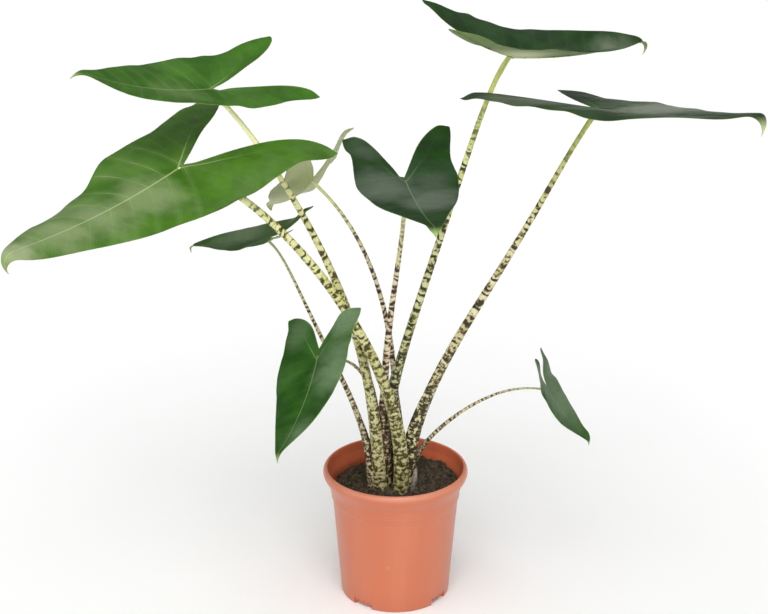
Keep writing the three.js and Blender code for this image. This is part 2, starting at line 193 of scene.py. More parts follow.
def turned(radius: Array, angle: Array, height: Array) -> Array:
    """Places round the upright axis, from radii, angles and heights."""
    parts = (radius * np.cos(angle), radius * np.sin(angle), height)
    return np.stack(np.broadcast_arrays(*parts), axis=-1)


def around(middle: Array, radius: Array, angle: Array, first: Array, second: Array) -> Array:
    """Places round a line in space.

    Args:
        middle: Places on the line.
        radius: Distances from it.
        angle: Angles round it, from the first direction to the second.
        first: Directions across the line.
        second: Directions square to the line and to the first ones.

    Returns:
        The places.
    """
    ahead = (radius * np.cos(angle))[..., None] * first
    return middle + ahead + (radius * np.sin(angle))[..., None] * second


def along_line(points: Array) -> Array:
    """Distance of each place from the first one, along the line through all of them."""
    return np.concatenate([[0.0], np.cumsum(np.linalg.norm(np.diff(points, axis=0), axis=1))])


def adopt(piece: Piece, node: str) -> Piece:
    """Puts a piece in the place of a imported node, which it rides with.

    Args:
        piece: The piece.
        node: Name of the node.

    Returns:
        The same piece.
    """
    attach(piece, "root")
    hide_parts(node)
    return piece


class MeshMaker:
    """Collects vertices, faces and surface maps, and makes one Blender object of them."""

    def __init__(self, *maps: str) -> None:
        """Starts an empty piece.

        Args:
            *maps: Names of the surface maps, of which each gives a vertex two numbers.
        """
        self.map_names = maps
        self.points: list[Array] = []
        self.maps: dict[str, list[Array]] = {name: [] for name in maps}
        self.faces: list[Array] = []
        self.slots: list[Array] = []
        self.count = 0

    def add_points(self, points: Array, **maps: tuple[Array, Array]) -> Array:
        """Adds vertices.

        Args:
            points: Places in millimetres, with x, y and z last.
            **maps: For each map, two arrays that fit the arrangement of the places.

        Returns:
            The vertices' numbers, arranged as the places are.
        """
        shape = points.shape[:-1]
        self.points.append(points.reshape(-1, 3))
        for name in self.map_names:
            pair = maps.get(name, (0.0, 0.0))
            values = [np.broadcast_to(np.asarray(v, float), shape).ravel() for v in pair]
            self.maps[name].append(np.stack(values, axis=-1))
        size = int(np.prod(shape))
        numbers = self.count + np.arange(size).reshape(shape)
        self.count += size
        return numbers

    def add_faces(self, faces: Array, slot: int = 0) -> None:
        """Adds faces of four corners each, where a corner named twice makes a triangle.

        Args:
            faces: Vertex numbers, four for each face.
            slot: Finish of the faces.
        """
        self.faces.append(faces.reshape(-1, 4))
        self.slots.append(np.full(len(self.faces[-1]), slot))

    def add_sheet(
        self, numbers: Array, slot: int = 0, closed: bool = False, flip: bool = False
    ) -> None:
        """Joins the neighbours in a grid of vertex numbers by faces.

        Args:
            numbers: Vertex numbers in rows and columns.
            slot: Finish of the faces.
            closed: True if the last column joins the first.
            flip: True turns the faces over.
        """
        if closed:
            numbers = np.concatenate([numbers, numbers[:, :1]], axis=1)
        corners = [numbers[:-1, :-1], numbers[:-1, 1:], numbers[1:, 1:], numbers[1:, :-1]]
        faces = np.stack(corners, axis=-1).reshape(-1, 4)
        self.add_faces(faces[:, ::-1] if flip else faces, slot)

    def add_cap(self, ring: Array, centre: int, flip: bool = False) -> None:
        """Closes a ring of vertices with triangles to a middle vertex.

        Args:
            ring: Vertex numbers of the ring.
            centre: Number of the middle vertex.
            flip: True turns the faces over.
        """
        after = np.roll(ring, -1)
        middle = np.full_like(ring, centre)
        faces = np.stack([ring, after, middle, middle], axis=-1)
        self.add_faces(faces[:, ::-1] if flip else faces)

    def add_rims(self, outer: Array, inner: Array, flip: bool) -> None:
        """Closes the four edges of a thin shell.

        Args:
            outer: Vertex numbers of its outer face.
            inner: Vertex numbers of its inner face.
            flip: True turns over the faces along the last column and the first row, and False
                those along the first column and the last row.
        """
        edges = ((np.s_[:, -1], flip), (np.s_[:, 0], not flip), (0, flip), (-1, not flip))
        for edge, over in edges:
            self.add_sheet(np.stack([outer[edge], inner[edge]], axis=-1), flip=over)

    def build(self, name: str, finishes: list[Material], sharp: float = 0.0) -> Piece:
        """Makes the object, in metres, with smooth shading.

        Args:
            name: Name of the piece.
            finishes: Materials in the order of the slots.
            sharp: Angle in degrees above which an edge stays sharp, or 0 for none.

        Returns:
            The new object, linked to the scene.
        """
        faces = np.concatenate(self.faces)
        slots = np.concatenate(self.slots)
        kept = faces != np.roll(faces, -1, axis=1)
        whole = kept.sum(axis=1) >= 3
        faces, kept, slots = faces[whole], kept[whole], slots[whole]
        loops = faces[kept]
        totals = kept.sum(axis=1)
        starts = np.concatenate([[0], np.cumsum(totals)[:-1]])
        mesh = bpy.data.meshes.new(name)
        mesh.vertices.add(self.count)
        mesh.vertices.foreach_set("co", (np.concatenate(self.points) * MM).ravel())
        mesh.loops.add(len(loops))
        mesh.loops.foreach_set("vertex_index", loops.astype(np.int32))
        mesh.polygons.add(len(faces))
        mesh.polygons.foreach_set("loop_start", starts.astype(np.int32))
        mesh.polygons.foreach_set("loop_total", totals.astype(np.int32))
        mesh.polygons.foreach_set("material_index", slots.astype(np.int32))
        mesh.polygons.foreach_set("use_smooth", np.ones(len(faces), bool))
        for finish in finishes:
            mesh.materials.append(finish)
        for map_name in self.map_names:
            layer = mesh.uv_layers.new(name=map_name)
            values = np.concatenate(self.maps[map_name])[loops]
            layer.data.foreach_set("uv", values.ravel().astype(np.float32))
        mesh.update(calc_edges=True)
        if sharp:
            mesh.set_sharp_from_angle(angle=math.radians(sharp))
        piece = bpy.data.objects.new(name, mesh)
        bpy.context.scene.collection.objects.link(piece)
        return piece


class Painter:
    """Builds the node tree of one material by short calls."""

    def __init__(self, name: str, **sockets: object) -> None:
        """Starts a material.

        Args:
            name: Name of the material.
            **sockets: Plain values for its main shader, with _ for a space in a socket's name.
        """
        self.material = bpy.data.materials.new(name)
        self.material.use_nodes = True
        self.tree = self.material.node_tree
        self.shader = self.tree.nodes["Principled BSDF"]
        for socket, value in sockets.items():
            self.shader.inputs[socket.replace("_", " ")].default_value = value

    def node(self, kind: str, *links: object, **settings: object) -> bpy.types.Node:
        """Adds a node and connects or sets its first sockets.

        Args:
            kind: Node type without the word ShaderNode.
            *links: A socket or a value for each input in turn, None to leave it.
            **settings: Properties of the node.

        Returns:
            The node.
        """
        made = self.tree.nodes.new("ShaderNode" + kind)
        for key, value in settings.items():
            setattr(made, key, value)
        for number, link in enumerate(links):
            self.plug(made.inputs[number], link)
        return made

    def plug(self, socket: Socket, source: object) -> None:
        """Connects a socket to another, or sets its value.

        Args:
            socket: The socket that takes it.
            source: Another socket, a value, or None to leave the socket as it is.
        """
        if isinstance(source, Socket):
            self.tree.links.new(source, socket)
        elif source is not None:
            socket.default_value = source

    def math(self, operation: str, *values: object) -> Socket:
        """A sum of one to three values, by the name of the operation."""
        return self.node("Math", *values, operation=operation).outputs[0]

    def times(self, first: object, second: object) -> Socket:
        """The product of two values."""
        return self.math("MULTIPLY", first, second)

    def line(self, value: object, slope: object, start: object) -> Socket:
        """A value times a slope, plus a start."""
        return self.math("MULTIPLY_ADD", value, slope, start)

    def between(self, value: object, low: float, high: float) -> Socket:
        """Eases a value from 0 to 1.

        Args:
            value: The value.
            low: Where the result is 0. It may be the larger.
            high: Where the result is 1.

        Returns:
            The eased value.
        """
        if low > high:
            return self.math("SUBTRACT", 1.0, self.between(value, high, low))
        return self.node("MapRange", value, low, high, interpolation_type="SMOOTHSTEP").outputs[0]

    def blend(self, share: object, first: object, second: object) -> Socket:
        """Mixes two colours, each a socket, a linear colour or a code 0xRRGGBB.

        Args:
            share: How much of the second shows, from 0 to 1.
            first: The first colour.
            second: The second colour.

        Returns:
            The mixed colour.
        """
        mix = self.node("Mix", data_type="RGBA")
        self.plug(mix.inputs[0], share)
        for socket, colour in zip(mix.inputs[6:8], (first, second)):
            self.plug(socket, linear(colour) if isinstance(colour, int) else colour)
        return mix.outputs[2]

    def layered(self, body: object, *layers: tuple[object, object]) -> Socket:
        """Lays colours over one another.

        Args:
            body: The lowest colour.
            *layers: The share and the colour of each layer, from below.

        Returns:
            The colour that shows.
        """
        for share, colour in layers:
            body = self.blend(share, body, colour)
        return body

    def noise(self, where: Socket, scale: float, detail: float = 2.0, rough: float = 0.5) -> Socket:
        """Cloudy noise around 0.5 at the given places."""
        return self.node("TexNoise", where, None, scale, detail, rough).outputs[0]

    def cells(self, where: Socket, scale: float) -> Socket:
        """Distance to the nearest edge in a pattern of random cells.

        Args:
            where: The places.
            scale: Number of cells along one unit.

        Returns:
            The distance at each place.
        """
        made = self.node("TexVoronoi", feature="DISTANCE_TO_EDGE")
        self.plug(made.inputs["Vector"], where)
        self.plug(made.inputs["Scale"], scale)
        return made.outputs["Distance"]

    def distance(self, where: Socket, middle: tuple[float, float, float]) -> Socket:
        """Distance of the given places from one place."""
        return self.node("VectorMath", where, middle, operation="DISTANCE").outputs[1]

    def place(self) -> Socket:
        """The object's own coordinates in metres."""
        return self.node("TexCoord").outputs["Object"]

    def pair(self, name: str) -> tuple[Socket, Socket]:
        """The two numbers of one of the piece's surface maps."""
        split = self.node("SeparateXYZ", self.node("UVMap", uv_map=name).outputs[0])
        return split.outputs[0], split.outputs[1]

    def gather(self, x: object, y: object, z: object) -> Socket:
        """A place made of three numbers."""
        return self.node("CombineXYZ", x, y, z).outputs[0]

    def colour(self, source: Socket) -> None:
        """Gives the shader its colour."""
        self.plug(self.shader.inputs["Base Color"], source)

    def roughness(
        self, value: Socket, low: float, high: float, smoothest: float, roughest: float
    ) -> None:
        """Makes the roughness follow a value evenly.

        Args:
            value: The value to follow.
            low: The value where the surface is smoothest.
            high: The value where it is roughest.
            smoothest: Roughness at the low value and below.
            roughest: Roughness at the high value and above.
        """
        ramp = self.node("MapRange", value, low, high, smoothest, roughest)
        self.plug(self.shader.inputs["Roughness"], ramp.outputs[0])

    def relief(self, height: Socket, depth: float, strength: float = 0.5) -> None:
        """Bumps the surface by a height from 0 to 1.

        Args:
            height: The height to follow.
            depth: Metres that a height of 1 stands out.
            strength: Share of the effect.
        """
        bump = self.node("Bump")
        bump.inputs["Strength"].default_value = strength
        bump.inputs["Distance"].default_value = depth
        self.plug(bump.inputs["Height"], height)
        self.plug(self.shader.inputs["Normal"], bump.outputs[0])


class Face(Enum):
    """The two faces of a leaf blade."""

    UPPER = "upper"
    LOWER = "lower"


@dataclass(frozen=True)
class LeafFinish:
    """Colours and gloss of a leaf blade.

    A sheen patch is painted sheen, a greyish highlight laid into the colour. It has its place
    across (left is positive) and along the flat pattern, its radius in millimetres and its
    share. The bloom colour serves both the thin wax bloom and these painted highlights. The
    side veins reach as far from the midrib as vein_reach says, in decimetres, and vein_shift
    moves that stretch to the right.
    """

    green: int
    deep: int
    vein: int
    under: int
    tip: int = 0x9DAA66
    margin: int = 0x6F8340
    # Colour of the thin wax bloom and of the painted sheen patches
    bloom_and_sheen: int = 0x8C9A80
    # Colour near the stalk on the lower face: partly its own paleness, partly painted glow of light
    # from below
    paleness_and_painted_glow: int = 0xC4C8A0
    bloom_share: float = 0.12
    rib_share: float = 0.55
    vein_share: float = 0.2
    vein_reach: float = 0.75
    vein_shift: float = 0.0
    roughness: float = 0.4
    # Painted sheen: greyish highlights laid into the colour where a broad light would gloss it
    sheen_patches: tuple[tuple[float, float, float, float], ...] = ()

    def material(self, name: str, face: Face) -> Material:
        """The material of one face of the blade.

        The veins are lines of the blade's maps: the midrib and the lobe ribs where their own
        distance is small, the side veins where the vein number is whole, and finer ones
        between them. A net of small cells fills the rest. The upper face has a greyish wax bloom
        and patches of painted sheen, and the lower one is pale, palest where the stalk meets it,
        partly its own paleness and partly a painted glow of light from below.

        Args:
            name: Name of the blade.
            face: Which face it is for.

        Returns:
            The material.
        """
        upper = face is Face.UPPER
        paint = Painter(f"{name}_{face.value}", Specular_IOR_Level=0.15 if upper else 0.2)
        across, along = paint.pair("flat")
        ahead, behind = paint.pair("veins")
        edge, share = paint.pair("edge")
        spot = paint.gather(across, along, 0.0)
        in_front = paint.math("GREATER_THAN", ahead, FIRST_VEIN)
        rear = paint.times(paint.math("SUBTRACT", 1.0, in_front), behind)
        number = paint.line(in_front, ahead, rear)
        lines = self._side_veins(paint, number, in_front, upper)
        halo = self._lines(paint, number, 1.0, 0.3, 0.0)
        fine = self._lines(paint, number, 7.0, 0.3, 0.05)
        ribs = self._ribs(paint, upper)
        net = paint.between(paint.cells(spot, 38.0), 0.12, 0.02)
        speckle = paint.noise(spot, 60.0)
        cloud = paint.between(paint.noise(spot, 2.6, 3.0), 0.32, 0.7)
        body = paint.blend(cloud, self.deep, self.green)
        if upper:
            # Wax bloom and painted sheen: greyish patches laid into the colour as highlights
            body = paint.blend(self._bloom_and_sheen_cover(paint, halo), body, self.bloom_and_sheen)
        else:
            # Palest near the stalk: partly the underside's own paleness, partly a painted glow of light
            # from below
            near = paint.between(paint.distance(spot, (0.0, 0.0, 0.0)), 0.55, 0.12)
            body = paint.layered(body, (0.9, self.under), (paint.times(near, 0.8), self.paleness_and_painted_glow))
        halo_share = paint.times(paint.line(in_front, 0.18, 0.07), self.vein_share)
        body = paint.layered(
            body,
            (paint.times(halo, halo_share), self.vein),
            (paint.times(fine, 0.06 * self.vein_share), self.vein),
            (paint.times(net, 0.06), self.deep),
            (paint.times(lines, self.vein_share if upper else 0.35), self.vein),
            (paint.times(ribs, self.rib_share if upper else 0.5), self.vein),
            (paint.between(share, 0.9, 1.0), self.tip),
            (paint.times(paint.between(edge, 0.08, 0.02), 0.5), self.margin),
        )
        paint.colour(body)
        base = self.roughness if upper else 0.55
        paint.roughness(speckle, 0.25, 0.75, base - 0.05, base + 0.09)
        veins = paint.math("MAXIMUM", ribs, paint.times(lines, 0.7))
        height = paint.times(speckle, 0.25)
        for part, depth in ((veins, -0.8), (fine, -0.08), (net, -0.08)):
            height = paint.line(part, depth, height)
        paint.relief(height, 0.0003 if upper else -0.0004)
        return paint.material

    def _side_veins(self, paint: Painter, number: Socket, in_front: Socket, upper: bool) -> Socket:
        """The side veins: patchy and clear of the edge, and on the upper face short and faint.

        Args:
            paint: The material's painter.
            number: The vein number.
            in_front: 1 in front of the first vein and 0 behind it.
            upper: True for the upper face.

        Returns:
            1 on the veins, less where they are faint, and 0 beside them.
        """
        across, along = paint.pair("flat")
        edge, share = paint.pair("edge")
        patchy = paint.noise(paint.gather(across, along, 0.0), 3.4, 1.0)
        fades = [
            paint.between(edge, 0.08, 0.6),
            paint.line(paint.between(patchy, 0.3, 0.6), 0.8, 0.2),
        ]
        if upper:
            aside = paint.math("ABSOLUTE", paint.math("ADD", across, self.vein_shift))
            fades += [
                paint.between(aside, self.vein_reach, 0.1),
                paint.between(share, 0.8, 0.45),
                paint.line(in_front, 0.65, 0.35),
            ]
        lines = self._lines(paint, number, 1.0, 0.036, 0.01)
        for fade in fades:
            lines = paint.times(lines, fade)
        return lines

    def _bloom_and_sheen_cover(self, paint: Painter, halo: Socket) -> Socket:
        """The greyish cover: thin clouds of wax bloom all over, and ragged patches of painted sheen.

        A patch is a painted sheen, a greyish highlight laid into the colour. It ends where the
        distance from its middle, made uneven by streaks, passes its radius, and it is a little
        weaker along the side veins.

        Args:
            paint: The material's painter.
            halo: 1 along the side veins, easing to 0 between them.

        Returns:
            The share of wax bloom and painted sheen at each place.
        """
        across, along = paint.pair("flat")
        spot = paint.gather(across, along, 0.0)
        wax = paint.between(paint.noise(spot, 1.7, 4.0, 0.6), 0.42, 0.7)
        swept = paint.gather(paint.times(across, 0.55), along, 3.0)
        uneven = paint.line(paint.noise(swept, 3.6, 4.0, 0.6), 1.5, -0.25)
        sheen = paint.line(halo, -0.12, 1.04)
        cover = paint.times(wax, self.bloom_share)
        # Each patch is a painted sheen highlight
        for x, y, radius, most in self.sheen_patches:
            gap = paint.distance(spot, (x / 100, y / 100, 0.0))
            here = paint.between(paint.line(gap, 100 / radius, uneven), 1.75, 0.6)
            here = paint.times(paint.times(here, most), sheen)
            cover = paint.math("MAXIMUM", cover, here)
        return cover

    @staticmethod
    def _ribs(paint: Painter, upper: bool) -> Socket:
        """The midrib and the lobe ribs, which fade along the lobes on the upper face.

        Args:
            paint: The material's painter.
            upper: True for the upper face.

        Returns:
            1 on the ribs, easing to 0 beside them.
        """
        midrib, lobe_rib = paint.pair("ribs")
        share = paint.pair("edge")[1]
        middle = paint.between(midrib, 1.0, 0.45)
        rib = paint.between(paint.math("ABSOLUTE", lobe_rib), 1.0, 0.4)
        if upper:
            rib = paint.times(rib, paint.line(paint.between(share, -0.28, -0.05), 0.93, 0.07))
        return paint.math("MAXIMUM", middle, paint.times(rib, 0.9))

    @staticmethod
    def _lines(paint: Painter, number: Socket, times: float, wide: float, narrow: float) -> Socket:
        """Lines where the vein number times a factor is whole.

        Args:
            paint: The material's painter.
            number: The vein number.
            times: The factor.
            wide: Distance from a whole number where a line has ended.
            narrow: Distance within which it is full.

        Returns:
            1 on the lines, easing to 0 beside them.
        """
        scaled = paint.times(number, times)
        away = paint.math("ABSOLUTE", paint.math("SUBTRACT", scaled, paint.math("ROUND", scaled)))
        return paint.between(away, wide, narrow)


@dataclass(frozen=True)
class StalkFinish:
    """Colours of a zebra-banded leaf stalk, and how its marks lie.

    The spacing of the bands is in millimetres. A higher density makes the marks wider, and
    low_density only those at the foot. From the share plain_from of its length the stalk is
    nearly plain.
    """

    ground: int
    shade: int
    olive: int = 0x6E6A30
    band: int = 0x231B10
    top: int = 0xB4BE62
    low: int = 0xCFCB9C
    bright: int = 0xE6E2BE
    stain: int = 0x6A5848
    spacing: float = 11.0
    density: float = 0.0
    low_density: float = 0.0
    plain_from: float = 0.87

    def material(self, name: str) -> Material:
        """The material of a stalk and its sheath.

        The marks are dark where a wave is high. High up its phase mostly grows along the
        stalk, so the marks are broken bands across it. Low down a second, closer wave wanders
        much more and makes rings, arches and a mottling. Near the blade they fade.

        Args:
            name: Name of the stalk.

        Returns:
            The material.
        """
        paint = Painter(name, Specular_IOR_Level=0.35)
        along, share = paint.pair("along")
        inward, sideways = paint.pair("round")
        seed = float(sum(map(ord, name)) % 17)

        def wrapped(size: float, stretch: float = 1.0) -> Socket:
            """Places on the stalk in steps of a size in millimetres, longer along it."""
            x, y = (paint.times(side, 100.0 / size) for side in (inward, sideways))
            return paint.gather(x, y, paint.line(along, 100.0 / size / stretch, seed))

        def cloudy(size: float, detail: float, stretch: float = 1.0) -> Socket:
            """Noise on the stalk, from about -0.5 to 0.5."""
            return paint.math("SUBTRACT", paint.noise(wrapped(size, stretch), 1.0, detail), 0.5)

        def marked(spacing: float, strength: float, size: float, bias: float, stretch: float) -> Socket:
            """Clouds drawn together into bands by a wandering wave along the stalk.

            Args:
                spacing: Millimetres from band to band.
                strength: Height of the wave.
                size: Size of the clouds in millimetres.
                bias: How far the wave is raised.
                stretch: How much longer than wide the clouds are.

            Returns:
                The wave, which is above 0 on the marks.
            """
            cycle = paint.line(along, 100.0 / spacing, paint.times(cloudy(11.0, 1.0), 2.2))
            wave = paint.line(paint.math("SINE", paint.times(cycle, TURN)), strength, bias)
            wave = paint.line(cloudy(size, 1.0, stretch), 4.4, wave)
            return paint.line(cloudy(1.9, 1.0), 1.9, wave)

        foot = paint.between(share, SHEATH_SHARE + 0.12, SHEATH_SHARE - 0.14)
        banded = marked(self.spacing, 0.75, 0.9 * self.spacing, 0.5 * self.density - 0.1, 0.6)
        mottled = marked(5.4, 0.3, 4.6, 1.1 * self.density + self.low_density + 0.16, 1.0)
        wave = paint.line(paint.math("SUBTRACT", mottled, banded), foot, banded)
        fade = paint.between(share, self.plain_from + 0.1, self.plain_from - 0.14)
        marks = paint.times(paint.between(wave, -0.2, 0.22), fade)
        cores = paint.times(paint.between(wave, 0.05, 0.75), fade)
        tone = paint.between(cloudy(26.0, 2.0), -0.16, 0.18)
        body = paint.layered(
            paint.blend(tone, self.ground, self.shade),
            (paint.times(foot, 0.75), self.low),
            (paint.times(paint.between(wave, -0.5, -1.1), 0.4), self.bright),
            (paint.between(share, self.plain_from - 0.3, 1.0), self.top),
            (paint.times(paint.between(share, 0.13, 0.02), 0.35), self.stain),
            (paint.times(marks, 0.85), self.olive),
            (paint.times(cores, 0.95), self.band),
        )
        paint.colour(body)
        grain = paint.noise(wrapped(1.2, 8.0), 1.0)
        paint.roughness(grain, 0.3, 0.7, 0.38, 0.54)
        paint.relief(paint.line(marks, 0.3, grain), 0.0003)
        return paint.material


@dataclass(frozen=True)
class Ruffle:
    """A lift and a widening of one edge of a blade, as a bell curve along the edge.

    The side is 0 for the left and 1 for the right. Where it lies and how wide it is are
    shares of the edge, and the lift and the way out are in millimetres. An inner ruffle is on
    the lobe's inner edge.
    """

    side: int
    at: float
    wide: float
    lift: float
    out: float = 0.0
    inner: bool = False

    def weights(self, u: Array, columns: int) -> Array:
        """How much of the ruffle each place of half a blade takes.

        Near the lobe's end, where the rows are short, a whole row follows the outer edge.

        Args:
            u: Share of the edge at each row.
            columns: Number of columns.

        Returns:
            Shares from 0 to 1 over rows and columns.
        """
        bell = np.exp(-(((u - self.at) / self.wide) ** 2))
        end = ease((u - 0.92) / 0.08)[:, None]
        v = np.linspace(0, 1, columns)
        if self.inner:
            bell = bell * ease((u - WIDEST) / 0.05)
            return bell[:, None] * (1 - v) ** 2 * (1 - end)
        return bell[:, None] * (v**2.1 * (1 - end) + end)


@dataclass
class Leaf:
    """A leaf: its blade and its stalk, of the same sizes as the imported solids.

    Angles are in degrees, and pairs of numbers are for the left and the right of the midrib.
    The blade sits on its stalk with a heading, a pitch and a roll. Its flat pattern has x
    across from the midrib and y forwards from the stalk, which meets it at 0, 0: it has a
    length, a half width, and two lobes that reach back and spread. The lobes part at the
    sinus, and their ends may be moved. Arch and hook bend the midrib, rise bends the lobes,
    twist turns the blade about the midrib, and fold, turn and cup bend it across. The wave
    along the edge starts at a phase, and the side veins slant.

    The stalk runs from its foot through bends. It is as thick as the two radii say, from foot
    to blade, with a swell where the sheath is, and meets the blade behind its seat.
    """

    name: str
    sits: tuple[float, float, float]
    heading: float
    pitch: float
    roll: float
    length: float
    half_width: float
    lobe: float
    spread: float
    arch: float
    hook: float
    twist: float
    rise: tuple[float, float]
    fold: tuple[float, float]
    turn: tuple[float, float]
    cup: tuple[float, float]
    wave: float
    phase: tuple[float, float]
    foot: tuple[float, float]
    bends: tuple[tuple[float, float, float], ...]
    thick: tuple[float, float]
    blade: LeafFinish
    bark: StalkFinish
    swell: float = 0.0
    seat: float = 0.0
    sinus: float = 0.07
    slant: tuple[float, float] = (0.1, 0.1)
    ends: tuple[tuple[float, float], tuple[float, float]] = ((0, 0), (0, 0))
    ruffles: tuple[Ruffle, ...] = ()

    def axes(self) -> tuple[Array, Array, Array]:
        """The blade's own directions where the stalk meets it.

        Returns:
            The directions forward, left and up.
        """
        h, p, r = (math.radians(a) for a in (self.heading, self.pitch, self.roll))
        forward = np.array([math.cos(h) * math.cos(p), math.sin(h) * math.cos(p), math.sin(p)])
        level = np.array([-math.sin(h), math.cos(h), 0.0])
        above = np.cross(forward, level)
        left = level * math.cos(r) + above * math.sin(r)
        return forward, left, above * math.cos(r) - level * math.sin(r)

    def spine(self, side: int) -> tuple[Array, Array, Array, Array]:
        """The midrib line bent in the upright plane, by adding up its slope from the stalk.

        Args:
            side: 0 for the left of the midrib, 1 for the right.

        Returns:
            Distances y from the stalk, and for each how far along and up the line is, and
            its slope in radians.
        """
        parts = []
        for reach in (-1.2 * self.lobe, self.length):
            y = np.linspace(0.0, reach, 400)
            slope, step = self._slope(side, (y[1:] + y[:-1]) / 2), np.diff(y)
            along = np.concatenate([[0.0], np.cumsum(np.cos(slope) * step)])
            up = np.concatenate([[0.0], np.cumsum(np.sin(slope) * step)])
            parts.append((y, along, up, self._slope(side, y)))
        back, ahead = parts
        return tuple(np.concatenate([b[:0:-1], a]) for b, a in zip(back, ahead))

    def _slope(self, side: int, y: Array) -> Array:
        """Slope of the midrib line: it arches evenly, then hooks down at the tip.

        Behind the stalk the lobes rise or sink, each by its own slope once they have parted.

        Args:
            side: 0 for the left of the midrib, 1 for the right.
            y: Distances from the stalk.

        Returns:
            Slopes in radians.
        """
        s = y / self.length
        hooked = math.radians(self.hook) * ease((s - HOOK_START) / (1 - HOOK_START))
        rise = np.where(-s < self.sinus, sum(self.rise) / 2, self.rise[side])
        behind = -np.radians(rise) * ease(-s / LOBE_BEND)
        return np.where(s >= 0, math.radians(self.arch) * s - hooked, behind)

    def half_pattern(
        self, side: int, front: int, back: int, columns: int
    ) -> tuple[Array, Array, Array]:
        """The flat grid of half a blade, from the tip to the end of the lobe.

        Each row runs straight from the inside, which is the midrib and then the lobe's inner
        edge, to the outer edge. Both are Bezier curves.

        Args:
            side: 0 for the left of the midrib, 1 for the right.
            front: Rows before the widest point.
            back: Rows behind it.
            columns: Columns, which lie closer at the inside.

        Returns:
            The grid of x and y, the share u of the edge at each row, and the share v of each
            column.
        """
        length, lobe, wide = self.length, self.lobe, self.half_width
        first = np.linspace(0, 1, front + 1) ** 1.25
        second = np.linspace(0, 1, back + 1)[1:]
        sinus = -self.sinus * length
        tip = (0.015 * length, 0.88 * length)
        waist = (self.spread + WAIST * length, -0.65 * lobe)
        end = (self.spread + self.ends[side][0], self.ends[side][1] - lobe)
        notch = (0.05 * length, sinus - 0.18 * lobe)
        heel = (self.spread - 0.13 * length, -lobe - 0.03 * length)
        edge_front = cubic([(0, length), tip, (wide, FULLNESS * length), (wide, 0)], first)
        edge_back = cubic([(wide, 0), (wide, -0.35 * lobe), waist, end], second)
        middle = np.stack([0 * first, length + (sinus - length) * first], axis=-1)
        inner = cubic([(0, sinus), notch, heel, end], second)
        v = np.linspace(0, 1, columns + 1) ** 1.4
        edge = np.concatenate([edge_front, edge_back])[:, None]
        inside = np.concatenate([middle, inner])[:, None]
        grid = inside * (1 - v)[None, :, None] + edge * v[None, :, None]
        u = np.concatenate([WIDEST * first, WIDEST + (1 - WIDEST) * second])
        return grid, u, v

    def bend(self, side: int, grid: Array, u: Array) -> Array:
        """Bends the flat pattern into space.

        Across the blade the section starts at the fold angle and curls down evenly, and the
        edge waves. Along it the section follows the bent midrib, and turns by the twist. Fine
        noise makes the outer parts uneven, and the ruffles lift and widen the edge.

        Args:
            side: 0 for the left of the midrib, 1 for the right.
            grid: Flat x and y.
            u: Share of the edge at each row.

        Returns:
            Places in millimetres.
        """
        x, y = grid[..., 0], grid[..., 1]
        table = self.spine(side)
        along, up, angle = (np.interp(y, table[0], column) for column in table[1:])
        steeper = self.turn[side] * ease(-y / (LOBE_BEND * self.length))
        fold = np.radians(self.fold[side] + steeper)
        curl = math.radians(self.cup[side]) / self.half_width
        out = (np.sin(fold) - np.sin(fold - curl * x)) / curl
        swell = self.wave * (x / self.half_width) ** 2 * np.minimum(1, 5 * (1 - u))[:, None]
        ripple = np.sin(TURN * (WAVES * u + self.phase[side]))[:, None]
        lift = (np.cos(fold - curl * x) - np.cos(fold)) / curl + swell * ripple
        small = lattice_noise(flat_points(x, y + 900 * side), 0.1 * self.length, 7)
        lift = lift + 0.006 * self.length * small * (x / self.half_width) ** 2
        for ruffle in self.ruffles:
            if ruffle.side == side:
                share = ruffle.weights(u, x.shape[1])
                lift = lift + ruffle.lift * share
                out = out + ruffle.out * share
        turn = math.radians(self.twist) * y / self.length
        sign = 1 if side == 0 else -1
        across = sign * out * np.cos(turn) - lift * np.sin(turn)
        above = sign * out * np.sin(turn) + lift * np.cos(turn)
        forward, left, top = self.axes()
        return (
            np.array(self.sits)
            + (along - np.sin(angle) * above)[..., None] * forward
            + across[..., None] * left
            + (up + np.cos(angle) * above)[..., None] * top
        )

    def rib_fields(self, side: int, grid: Array) -> dict[str, Array]:
        """Where the veins lie in the flat pattern.

        Side veins of the front leave the midrib and sweep forwards. The one that leaves it at
        a start, a share of the length, is the line y = start (length + 0.55 x) + slant x
        + 0.2 x^2 / half width, and the vein number grows with the start. Behind, a rib runs
        from the stalk down each lobe, and veins leave it slanting back.

        Args:
            side: 0 for the left of the midrib, 1 for the right.
            grid: Flat x and y.

        Returns:
            Fields over the grid: ahead and behind, the vein numbers; mid and rib, the
            distances from the midrib and the lobe rib in half widths of those; and lateral,
            the distance in vein numbers from the nearest side vein.
        """
        x, y = grid[..., 0], grid[..., 1]
        sweep = 0.2 * x * x / self.half_width
        slant = self.slant[side] * x
        start = (y - slant - sweep) / (1 + 0.55 * x / self.length) / self.length
        ahead = 0.28 + 10.3 * start - 1.6 * start**2
        bow = (0.42 * self.spread + 0.05 * self.half_width, -0.45 * self.lobe)
        end = (0.98 * self.spread, -0.97 * self.lobe)
        line = pulled_curve(np.array([(0.0, 0.0), bow, end]), np.linspace(0, 1, 41))
        a, step = line[:-1], np.diff(line, axis=0)
        run = along_line(line)
        rel = grid[..., None, :] - a
        share = np.clip((rel * step).sum(-1) / (step**2).sum(-1), 0, 1)
        gap = rel - share[..., None] * step
        nearest = np.linalg.norm(gap, axis=-1).argmin(-1)[..., None]
        away = np.take_along_axis(np.linalg.norm(gap, axis=-1), nearest, -1)[..., 0]
        cross = rel[..., 0] * step[:, 1] - rel[..., 1] * step[:, 0]
        flank = -np.sign(np.take_along_axis(cross, nearest, -1)[..., 0])
        part = np.take_along_axis(share, nearest, -1)[..., 0]
